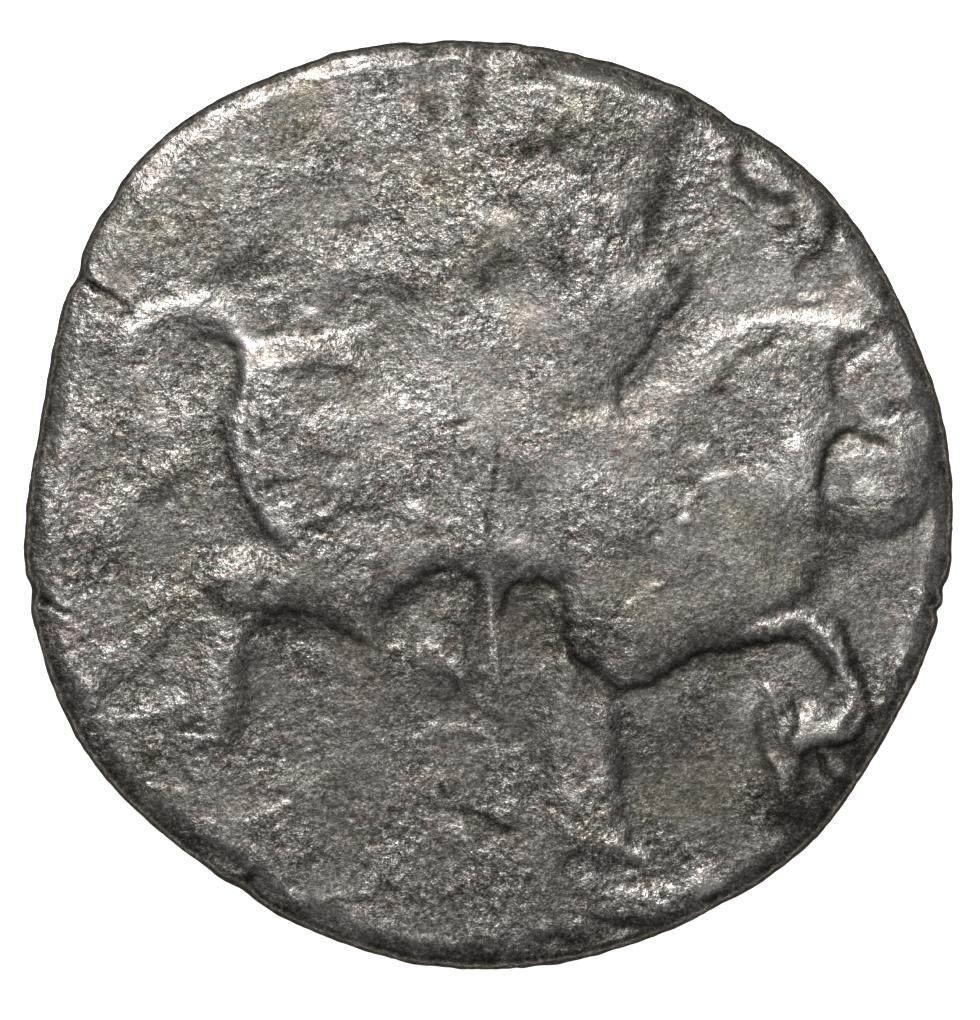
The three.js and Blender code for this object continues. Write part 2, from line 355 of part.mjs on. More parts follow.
// Slow unevenness: a fan of long waves in turning directions.
function unevenness(x, y) {
  let sum = 0;
  for (let i = 0; i < 12; i++) {
    const turn = i * 2.39996, wave = 7.5 * 0.84 ** i;
    sum += (wave / 7.5) * Math.sin((2 * Math.PI * (x * Math.cos(turn) + y * Math.sin(turn))) / wave + 1.7 * i);
  }
  return (WEAR * sum) / 3;
}

// A narrow core on a wide skirt: 1 in the middle, 0 beyond 2.2.
const soft = (u) => 0.74 * bump(u) + 0.26 * bump(u / 2.2);

// Share of a ridge's or a groove's height at a place; it runs out towards the line's ends.
function strip(row, x, y, endShare) {
  const wide = 2.2 * Math.max(row.from, row.to, LEAST_STRIP);
  if (!near(row.curve, x, y, wide)) return 0;
  const [d, t] = distanceTo(row.curve, x, y);
  return soft(d / Math.max(LEAST_STRIP, row.from + (row.to - row.from) * t)) * Math.min(1, Math.min(t, 1 - t) * 8 + endShare);
}

// Height of the relief over the field.
function relief(x, y) {
  let z = 0;
  for (const f of FORMS) {
    if (!near(f.curve, x, y, f.edge)) continue;
    const [d] = distanceTo(f.curve, x, y);
    z = Math.max(z, FORM_GAIN * f.rise * smooth(clamp((isInside(f.curve, x, y) ? d : -d) / f.edge + 0.4, 0, 1)));
  }
  for (const r of RIDGES) z += STRIP_GAIN * r.rise * strip(r, x, y, 0.4);
  for (const g of GROOVES) z -= STRIP_GAIN * g.depth * strip(g, x, y, 0.2);
  for (const s of SPOTS) {
    const c = Math.cos((s.turn * Math.PI) / 180), n = Math.sin((s.turn * Math.PI) / 180);
    const dx = x - s.at[0], dy = y - s.at[1];
    z += s.rise * bump(Math.hypot((dx * c + dy * n) / (1.5 * s.size[0]), (-dx * n + dy * c) / (1.5 * s.size[1])));
  }
  for (const k of CRACKS) {
    if (!near(k.curve, x, y, k.width)) continue;
    const [d, t] = distanceTo(k.curve, x, y);
    z -= k.depth * (1 - t) * bump(d / (k.width * (1 - 0.6 * t)));
  }
  return z;
}

// Outline radius on a bearing, and the same with the cracks' notches taken out.
function outline(bearing) {
  return HARMONICS.reduce(
    (r, [c, s], i) => r + c * Math.cos((i + 1) * bearing) + s * Math.sin((i + 1) * bearing),
    MEAN_RADIUS,
  );
}
function notched(bearing, share) {
  let r = outline(bearing);
  for (const k of CRACKS) {
    const off = Math.atan2(Math.sin(bearing - (k.bearing * Math.PI) / 180), Math.cos(bearing - (k.bearing * Math.PI) / 180));
    r -= share * k.notch * Math.exp(-((off / ((k.half * Math.PI) / 180)) ** 2));
  }
  return r;
}

// Upper face and underside, as heights over the resting plane.
function upper(x, y) {
  const r = Math.hypot(x, y), bearing = Math.atan2(y, x), inset = outline(bearing) - EDGE_ROUND - r;
  const border = smooth(clamp(1 - inset / (SHOULDER * (1 + 0.1 * Math.cos(bearing - 4.2) - 0.25 * Math.exp(-((bearing / 0.5) ** 2)))), 0, 1)) ** 1.3;
  const faded = clamp(inset / (0.7 * SHOULDER), 0, 1);
  return FIELD_Z + FIELD_CROWN * (1 - (r / MEAN_RADIUS) ** 2) - SHOULDER_DROP * border +
    (0.25 + 0.75 * faded) * relief(x, y) + unevenness(x, y);
}
function under(x, y) {
  const r = Math.hypot(x, y), bearing = Math.atan2(y, x);
  const inset = outline(bearing) - EDGE_ROUND - r;
  const patch = REST_RADIUS * (1 + 0.06 * Math.cos(2 * bearing + 0.6) + 0.04 * Math.cos(5 * bearing));
  let z = UNDER_FIELD * smooth(clamp((r - patch) / 1.3, 0, 1)) +
    (UNDER_RIM - UNDER_FIELD) * smooth(clamp(1 - inset / UNDER_ROUND, 0, 1));
  const kept = smooth(clamp(0.5 + 0.9 * Math.cos(bearing - 2.3), 0, 1));
  z -= BORDER_RISE * kept * bump((r - BORDER_RING) / BORDER_WIDTH);
  return r < patch ? 0 : Math.max(0, z + 0.35 * unevenness(-x, y) * clamp((r - patch) / 1.3, 0, 1));
}

// ---- the closed surface: rings from the middle of the upper face, over the edge, to the middle below ----
// Bearings of a ring: evenly spaced, with a few more beside each crack near the edge.
function bearings(count, fine) {
  const list = Array.from({ length: count }, (_, i) => (2 * Math.PI * i) / count);
  if (fine)
    for (const k of CRACKS)
      for (const share of [-1.5, -0.7, 0, 0.7, 1.5]) {
        const b = ((k.bearing + share * k.half) * Math.PI) / 180;
        list.push(b - 2 * Math.PI * Math.floor(b / (2 * Math.PI)));
      }
  list.sort((a, b) => a - b);
  return list.filter((b, i) => i === 0 || b - list[i - 1] > 0.004);
}

const rings = [];
for (let i = 0; i <= TOP_RINGS; i++) {
  rings.push(bearings(Math.max(1, 6 * i), i > TOP_RINGS - 3).map((b) => {
    const r = (i / TOP_RINGS) * (notched(b, (i / TOP_RINGS) ** 6) - EDGE_ROUND);
    const x = r * Math.cos(b), y = r * Math.sin(b);
    return [b, x, y, upper(x, y)];
  }));
}
const topEdge = rings[TOP_RINGS];
for (let k = 1; k <= SIDE_RINGS; k++) {
  const turn = (Math.PI * k) / (SIDE_RINGS + 1), s = (1 - Math.cos(turn)) / 2, bulge = Math.sin(turn) ** 0.85;
  rings.push(topEdge.map(([b, , , z]) => {
    const low = (outline(b) - EDGE_ROUND);
    const foot = under(low * Math.cos(b), low * Math.sin(b));
    const r = notched(b, 1 - 0.6 * s) - EDGE_ROUND * (1 - bulge) + 0.02 * Math.sin(7 * b + 5 * s) * Math.sin(3.3 * b);
    return [b, r * Math.cos(b), r * Math.sin(b), z + (foot - z) * s];
  }));
}
for (let i = UNDER_RINGS; i >= 0; i--) {
  rings.push(bearings(Math.max(1, Math.round(7.2 * i)), false).map((b) => {
    const r = (i / UNDER_RINGS) * (notched(b, 0.3) - EDGE_ROUND);
    const x = r * Math.cos(b), y = r * Math.sin(b);
    return [b, x, y, under(x, y)];
  }));
}

// Each pair of neighbouring rings is laced together by bearing.
const positions = [], starts = [], faces = [];
for (const ring of rings) {
  starts.push(positions.length / 3);
  for (const [, x, y, z] of ring) positions.push(x, y, z);
}
for (let k = 0; k + 1 < rings.length; k++) {
  const A = rings[k], B = rings[k + 1], a0 = starts[k], b0 = starts[k + 1];
  const turn = 2 * Math.PI;
  const at = (ring, i) => ring[i % ring.length][0] + turn * Math.floor(i / ring.length);
  let i = 0, j = 0;
  while (i < A.length || j < B.length) {
    const stepB = j < B.length && (i >= A.length || A.length === 1 || at(B, j + 1) <= at(A, i + 1));
    if (stepB) {
      faces.push(a0 + (i % A.length), b0 + (j % B.length), b0 + ((j + 1) % B.length));
      j++;
    } else {
      if (A.length > 1) faces.push(a0 + (i % A.length), b0 + (j % B.length), a0 + ((i + 1) % A.length));
      i++;
    }
  }
}

const geometry = new THREE.BufferGeometry();
geometry.setAttribute("position", new THREE.Float32BufferAttribute(positions, 3));
geometry.setIndex(faces.filter((_, i) => {
  const t = i - (i % 3);
  return faces[t] !== faces[t + 1] && faces[t + 1] !== faces[t + 2] && faces[t] !== faces[t + 2];
}));
geometry.computeVertexNormals();

const coin = new THREE.Mesh(
  geometry,
  new THREE.MeshStandardMaterial({ color: 0x7b7772, roughness: 0.46, metalness: 0.95 }),
);
coin.name = "coin";

const part = new THREE.Group();
part.name = "silver_coin";
part.add(coin);
export default part;
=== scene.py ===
# A hand-struck silver coin lying on its worn side, horse-and-rider side up: the visual model.
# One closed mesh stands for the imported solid: a height field for the upper face, one for the underside and the
# hammered edge between them. Millimetres in the geometry below, metres in the mesh.
import math

import bpy
import numpy as np
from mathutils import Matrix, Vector


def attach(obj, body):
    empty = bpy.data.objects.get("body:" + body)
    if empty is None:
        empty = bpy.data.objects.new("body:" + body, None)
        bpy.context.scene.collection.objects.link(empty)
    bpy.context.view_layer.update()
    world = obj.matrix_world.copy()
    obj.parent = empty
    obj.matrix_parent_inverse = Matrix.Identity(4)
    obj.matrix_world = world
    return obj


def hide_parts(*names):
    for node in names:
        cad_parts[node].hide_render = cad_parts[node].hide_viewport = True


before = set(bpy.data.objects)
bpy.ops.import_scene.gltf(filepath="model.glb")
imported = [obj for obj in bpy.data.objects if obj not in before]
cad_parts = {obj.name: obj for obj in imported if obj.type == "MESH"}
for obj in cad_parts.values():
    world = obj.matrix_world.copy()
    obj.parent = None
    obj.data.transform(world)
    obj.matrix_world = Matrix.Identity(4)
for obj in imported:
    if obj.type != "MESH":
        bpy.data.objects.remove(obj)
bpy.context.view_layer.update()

# ---- driving sizes, mm: the ones the solid is built from ----
MEAN_RADIUS = 12.05
FIELD_Z = 2.45
FIELD_CROWN = 0.1
SHOULDER = 0.55
SHOULDER_DROP = 0.11
EDGE_ROUND = 0.26
REST_RADIUS = 8.3
UNDER_FIELD = 0.2
UNDER_RIM = 0.42
UNDER_ROUND = 1.0
WEAR = 0.06
HARMONICS = [
    (-0.127, 0.066), (-0.01, -0.133), (0.112, 0.01), (-0.087, 0.09), (0.043, -0.096),
    (-0.011, 0.055), (0.028, -0.03), (0.03, -0.005), (0, -0.01), (0.008, -0.007),
    (-0.011, 0.002), (-0.009, 0.013), (-0.011, -0.01), (0.004, 0.006),
]
# Small nicks and swellings of the outline: bearing, half angle in degrees, how far out.
NICKS = [
    (346.5, 1.0, -0.06), (57.2, 1.6, -0.08), (98.2, 2.0, -0.07), (65.0, 1.8, 0.06), (87.2, 1.6, 0.05),
    (352.8, 1.2, 0.03), (232.0, 1.5, -0.06), (76.5, 1.6, -0.05), (141.0, 1.6, -0.05), (260.0, 1.8, 0.05),
    (109.2, 1.6, 0.05), (189.2, 1.2, 0.05), (20.0, 1.4, -0.03), (300.0, 1.6, -0.03),
]

# ---- the working grid: both faces are worked out on it, then read off by the mesh ----
SIDE = 1040  # points along each side
STEP = 0.025  # mm between points
FORMS = [
  { "name": "haunch", "rise": 0.18, "edge": 1.13, "line": [
    [-6.15, 3.93], [-5.5, 4.09], [-4.86, 4.21], [-3.7, 4.27], [-1.77, 2.69], [-1.64, 0.12],
    [-2.18, -1.69], [-2.59, -2.72], [-2.95, -3.75], [-3.88, -3.29], [-4.81, -2.67], [-5.89, -2.51],
    [-5.68, -1.82], [-5.43, -1.22], [-6.15, -0.24], [-6.46, 0.58], [-6.61, 1.66], [-6.46, 2.75]] },
  { "name": "barrel", "rise": 0.18, "edge": 1.13, "line": [
    [-3.31, 2.69], [-0.48, 2.95], [2.87, 2.69], [4.16, 1.66], [3.91, -0.92], [2.93, -2.62],
    [2.05, -2.41], [1.59, -2], [0.43, -1.84], [-0.48, -1.69], [-1.51, -1.79], [-2.49, -2.51],
    [-3.57, -1.43]] },
  { "name": "chest", "rise": 0.18, "edge": 1.13, "line": [
    [2.62, 1.92], [4.94, 2.69], [7.77, 2.69], [8.85, 0.89], [8.78, -0.55], [8.6, -1.43],
    [8.18, -2.41], [7.41, -3.13], [6.35, -3.6], [5.45, -3.78], [4.63, -4.27], [3.34, -4.63],
    [2.62, -4.21], [2, -3.49], [1.79, -2.46], [2.1, -0.4]] },
  { "name": "neck", "rise": 0.18, "edge": 2.06, "line": [
    [3.44, 2.08], [4.11, 3.05], [5.19, 4.03], [6.48, 4.58], [8.03, 4.94], [9.63, 4.99],
    [10.25, 4.7], [9.68, 4.16], [9.01, 3.83], [8.78, 3.29], [9.01, 2.59], [8.7, 1.4], [7, 0.12],
    [4.42, 0.63]] },
  { "name": "rider_mass", "rise": 0.18, "edge": 2.84, "line": [
    [-2.8, 1.92], [-2.54, 4.5], [-1.77, 7.85], [-0.48, 10.69], [1.84, 12.08], [3.91, 11.56],
    [5.25, 10.63], [4.78, 9.14], [4.37, 7.85], [4.27, 6.72], [4.78, 6.3], [5.32, 5.92],
    [5.14, 5.27], [4.47, 4.34], [3.7, 3.42], [3.29, 2.75], [3.18, 1.15], [0.3, -0.4],
    [-2.28, 0.12]] },
  { "name": "muzzle", "rise": 0.18, "edge": 1.13, "line": [
    [9.01, 1.51], [9.78, 1.82], [10.56, 1.82], [11.12, 1.51], [11.33, 0.94], [11.1, 0.17],
    [10.56, -0.45], [9.73, -0.66], [9.06, -0.35], [8.7, 0.27], [8.7, 0.99]] },
  { "name": "cheek_disc", "rise": 0.08, "edge": 0.57, "line": [
    [9.11, 2.59], [9.06, 3.21], [9.37, 3.73], [9.99, 4.03], [10.71, 4.09], [11.12, 3.67],
    [11.23, 3.05], [10.97, 2.59], [10.3, 2.38], [9.63, 2.33]] },
  { "name": "standing_leg", "rise": 0.12, "edge": 0.77, "line": [
    [2, -3.75], [2.87, -4.58], [3.24, -4.78], [3.29, -6.07], [3.39, -7.62], [3.6, -8.91],
    [2.46, -9.11], [1.64, -8.13], [1.48, -6.07], [1.64, -4.52]] },
  { "name": "belly_lobe", "rise": 0.08, "edge": 0.72, "line": [
    [-2.38, -3.03], [-1.82, -2.62], [-0.99, -2.46], [-0.53, -2.82], [-0.48, -3.75], [-0.68, -4.58],
    [-1.35, -4.52], [-2.23, -4.11]] },
  { "name": "hind_shank", "rise": 0.12, "edge": 1.03, "line": [
    [-7.13, -1.84], [-5.84, -1.69], [-5.79, -2.46], [-6.1, -3.49], [-6.3, -4.78], [-6.46, -5.94],
    [-7.23, -6.17], [-7.75, -5.5], [-7.59, -4.27], [-7.33, -2.98]] },
  { "name": "hoof", "rise": 0.15, "edge": 0.57, "line": [
    [7.82, -5.45], [8.34, -5.19], [8.91, -5.4], [9.32, -5.66], [9.11, -6.12], [8.44, -6.17],
    [7.93, -6.33], [7.62, -6.12]] },
]
# Ridges and grooves: rise or depth in mm, tone how much darker (above 0) or brighter (below 0) the metal is painted
# along them, half widths from and to, and the line. The tone is partly patina in the grooves and bare worn metal on
# the ridges, partly painted shade on slopes turned from the light and painted highlight on slopes turned towards it.
RIDGES = [
  { "name": "tail_arch", "rise": 0.07, "tone": 0.6, "from": 0.52, "to": 0.46, "line": [
    [-9.4, 3.73], [-9.19, 4.34], [-8.67, 4.81], [-7.95, 5.01], [-7.23, 4.99], [-6.61, 4.63],
    [-6.23, 4.01]] },
  { "name": "tail_outer", "rise": 0.018, "tone": -0.1, "from": 0.41, "to": 0.46, "line": [
    [-9.29, 3.98], [-9.45, 3.21], [-9.4, 2.44], [-8.98, 1.66]] },
  { "name": "tail_strand", "rise": 0.05, "tone": 0.2, "from": 0.41, "to": 0.57, "line": [
    [-7.54, 1.35], [-8.06, 0.94], [-8.67, 0.48], [-9.45, -0.04], [-10.22, -0.71]] },
  { "name": "rump_rim", "rise": 0.035, "tone": 0.6, "from": 0.21, "to": 0.21, "line": [
    [-6.25, 4.09], [-6.2, 3.47], [-6.35, 2.75], [-6.46, 1.92], [-6.41, 1.15], [-6.15, 0.37],
    [-5.74, -0.3], [-5.12, -0.99]] },
  { "name": "rump_stroke", "rise": 0.022, "tone": 0.45, "from": 0.15, "to": 0.1, "line": [
    [-6.2, 4.01], [-5.79, 4.11], [-5.32, 4.19], [-4.73, 4.27], [-4.09, 4.34], [-3.62, 4.32]] },
  { "name": "rump_knot", "rise": 0.018, "tone": 0.78, "from": 0.31, "to": 0.31, "line": [
    [-6.51, 4.4], [-6.2, 3.98], [-5.99, 3.83]] },
  { "name": "far_pastern", "rise": 0.045, "tone": 0.45, "from": 0.34, "to": 0.36, "line": [
    [-9.81, -5.66], [-9.04, -5.48], [-8.26, -5.3], [-7.75, -5.27]] },
  { "name": "near_hoof", "rise": 0.03, "tone": 0.7, "from": 0.18, "to": 0.18, "line": [
    [-7.85, -6.02], [-7.33, -6.05], [-6.82, -6.02]] },
  { "name": "far_shank", "rise": 0.04, "tone": 0.1, "from": 0.36, "to": 0.31, "line": [
    [-7.69, -2.2], [-8.31, -2.98], [-8.98, -3.8]] },
  { "name": "hock_fold", "rise": 0.015, "tone": 0.5, "from": 0.15, "to": 0.13, "line": [
    [-7.95, -3.18], [-7.59, -3.03], [-7.18, -2.93]] },
  { "name": "foreleg", "rise": 0.08, "tone": 0.7, "from": 0.26, "to": 0.28, "line": [
    [6.59, -3.29], [7.39, -3.16], [8.18, -2.98], [8.7, -3.39], [9.06, -4.01], [9.29, -4.65],
    [9.32, -5.25], [9.06, -5.81]] },
  { "name": "curl", "rise": 0.06, "tone": 0.6, "from": 0.15, "to": 0.13, "line": [
    [7.1, -4.58], [7.36, -4.99], [7.51, -5.56], [7.46, -6.17]] },
  { "name": "curl_foot", "rise": 0.05, "tone": 0.2, "from": 0.18, "to": 0.23, "line": [
    [7.36, -6.48], [7.57, -7], [7.67, -7.62]] },
  { "name": "rim_lump", "rise": 0.027, "tone": 0.09, "from": 0.28, "to": 0.23, "line": [
    [8.65, -6.69], [9.11, -6.9], [9.47, -6.64]] },
  { "name": "rim_fold", "rise": 0.021, "tone": -0.4, "from": 0.15, "to": 0.15, "line": [
    [9.99, -4.78], [10.4, -4.37], [10.81, -4.01], [11.28, -3.6]] },
  { "name": "rider_shin", "rise": 0.04, "tone": 0.5, "from": 0.21, "to": 0.18, "line": [
    [0.06, -1.59], [0.09, -2.98], [0.19, -4.83]] },
  { "name": "rider_foot", "rise": 0.028, "tone": 0.3, "from": 0.26, "to": 0.18, "line": [
    [-1.66, -5.89], [-1.04, -5.79], [-0.37, -5.84], [0.09, -6.07]] },
  { "name": "lobe_fold", "rise": 0.018, "tone": 0.95, "from": 0.18, "to": 0.15, "line": [
    [-1.66, -3.6], [-1.15, -3.91], [-0.58, -4.47]] },
  { "name": "lobe_fold_2", "rise": 0.012, "tone": -0.03, "from": 0.13, "to": 0.1, "line": [
    [-2.69, -3.7], [-2.18, -3.85], [-1.71, -4.06]] },
  { "name": "crest", "rise": 0.032, "tone": 0.55, "from": 0.15, "to": 0.34, "line": [
    [5.45, 3.8], [5.84, 4.21], [6.48, 4.5], [7.26, 4.68], [8.16, 4.76], [9.06, 4.7], [9.83, 4.6]] },
  { "name": "crest_hook", "rise": 0.014, "tone": -0.4, "from": 0.08, "to": 0.08, "line": [
    [5.22, 3.39], [5.04, 3.7], [5.22, 3.93]] },
  { "name": "crest_low", "rise": 0.018, "tone": -0.4, "from": 0.46, "to": 0.52, "line": [
    [3.8, 2.23], [4.21, 2.69], [4.83, 3]] },
  { "name": "cheek_rim", "rise": 0.015, "tone": 0.44, "from": 0.15, "to": 0.15, "line": [
    [9.22, 2.59], [9.16, 3.16], [9.53, 3.67], [10.5, 4.29]] },
  { "name": "jaw", "rise": 0.054, "tone": 0.82, "from": 0.21, "to": 0.21, "line": [
    [9.47, 2.44], [10.04, 2.13], [10.76, 2.18]] },
  { "name": "right_rim", "rise": 0.097, "tone": 0.15, "from": 0.23, "to": 0.21, "line": [
    [11.48, 3.98], [11.74, 2.69], [11.9, 0.89], [11.79, -0.92], [11.64, -1.84]] },
  { "name": "exergue_bar", "rise": 0.05, "tone": 0.7, "from": 0.23, "to": 0.23, "line": [
    [2.87, -8.75], [3.44, -8.8], [4.11, -9.22]] },
  { "name": "exergue_foot", "rise": 0.05, "tone": 0.6, "from": 0.23, "to": 0.21, "line": [
    [3.18, -9.99], [3.8, -10.09], [4.42, -10.3], [5.19, -10.4]] },
  { "name": "exergue_mid", "rise": 0.021, "tone": 0.72, "from": 0.15, "to": 0.15, "line": [
    [4.27, -9.99], [4.83, -9.91]] },
  { "name": "exergue_end", "rise": 0.055, "tone": 1.8, "from": 0.26, "to": 0.26, "line": [
    [5.45, -9.37], [5.5, -9.99]] },
  { "name": "legend_1", "rise": 0.019, "tone": 0.01, "from": 0.13, "to": 0.13, "line": [
    [6.9, 9.24], [7.26, 9.06], [7.49, 8.8]] },
  { "name": "legend_2", "rise": 0.018, "tone": 0.43, "from": 0.13, "to": 0.13, "line": [
    [6.61, 8.73], [6.79, 8.47], [7.1, 8.26]] },
  { "name": "legend_3", "rise": 0.034, "tone": -0.4, "from": 0.15, "to": 0.15, "line": [
    [7.51, 8.06], [7.98, 8.13], [8.49, 7.85]] },
  { "name": "legend_4", "rise": 0.035, "tone": -0.4, "from": 0.1, "to": 0.1, "line": [
    [8.08, 7.8], [8.13, 7.33]] },
  { "name": "legend_5", "rise": 0.051, "tone": 0.11, "from": 0.15, "to": 0.13, "line": [
    [6.12, 8.16], [6.48, 7.9], [6.84, 7.64]] },
  { "name": "legend_6", "rise": 0.012, "tone": 0.41, "from": 0.13, "to": 0.13, "line": [
    [6.17, 9.14], [6.07, 8.47]] },
  { "name": "field_streak_1", "rise": 0.018, "tone": 0.56, "from": 0.18, "to": 0.15, "line": [
    [-6.1, -8.08], [-5.5, -7.85], [-4.96, -7.64]] },
  { "name": "field_streak_2", "rise": 0.034, "tone": -0.35, "from": 0.1, "to": 0.1, "line": [
    [-4.45, -10.2], [-3.7, -10.14], [-2.95, -10.07]] },
  { "name": "field_streak_3", "rise": 0.014, "tone": 0.18, "from": 0.1, "to": 0.1, "line": [
    [0.24, -6.59], [0.61, -6.38], [0.97, -6.25]] },
  { "name": "field_streak_4", "rise": 0.012, "tone": 1.07, "from": 0.1, "to": 0.08, "line": [
    [3.54, -2.67], [4.01, -2.33], [4.52, -1.92]] },
  { "name": "field_streak_5", "rise": 0.015, "tone": 1.0, "from": 0.13, "to": 0.1, "line": [
    [5.5, 0.58], [6.02, 0.71], [6.53, 0.84], [6.84, 0.53]] },
  { "name": "field_streak_6", "rise": 0.009, "tone": 0.96, "from": 0.1, "to": 0.1, "line": [
    [-4.45, 6.35], [-3.98, 6.1], [-3.47, 5.79]] },
  { "name": "field_streak_7", "rise": 0.019, "tone": 0.73, "from": 0.13, "to": 0.13, "line": [
    [-6.61, 8.75], [-5.94, 8.8], [-5.22, 8.67]] },
  { "name": "field_streak_8", "rise": 0.012, "tone": 0.22, "from": 0.1, "to": 0.1, "line": [
    [1.84, 4.6], [2.46, 4.7], [3.03, 4.6]] },
  { "name": "rim_lip_1", "rise": 0.012, "tone": 0.28, "from": 0.21, "to": 0.23, "line": [
    [-8.73, 8.73], [-7.75, 9.55], [-6.77, 10.09], [-5.79, 10.35]] },
  { "name": "rim_lip_2", "rise": 0.072, "tone": -0.21, "from": 0.23, "to": 0.23, "line": [
    [-5.68, 10.63], [-4.76, 11.05], [-3.73, 11.15], [-2.9, 11.41], [-2.23, 11.51]] },
  { "name": "rim_lip_3", "rise": 0.095, "tone": -0.39, "from": 0.21, "to": 0.21, "line": [
    [-1.97, 11.46], [-1.25, 11.59], [-0.58, 11.56]] },
  { "name": "rim_lip_4", "rise": 0.015, "tone": 0.12, "from": 0.23, "to": 0.23, "line": [
    [1.53, 11.2], [2.31, 10.94], [2.98, 10.84], [3.75, 10.69], [4.27, 10.43]] },
]
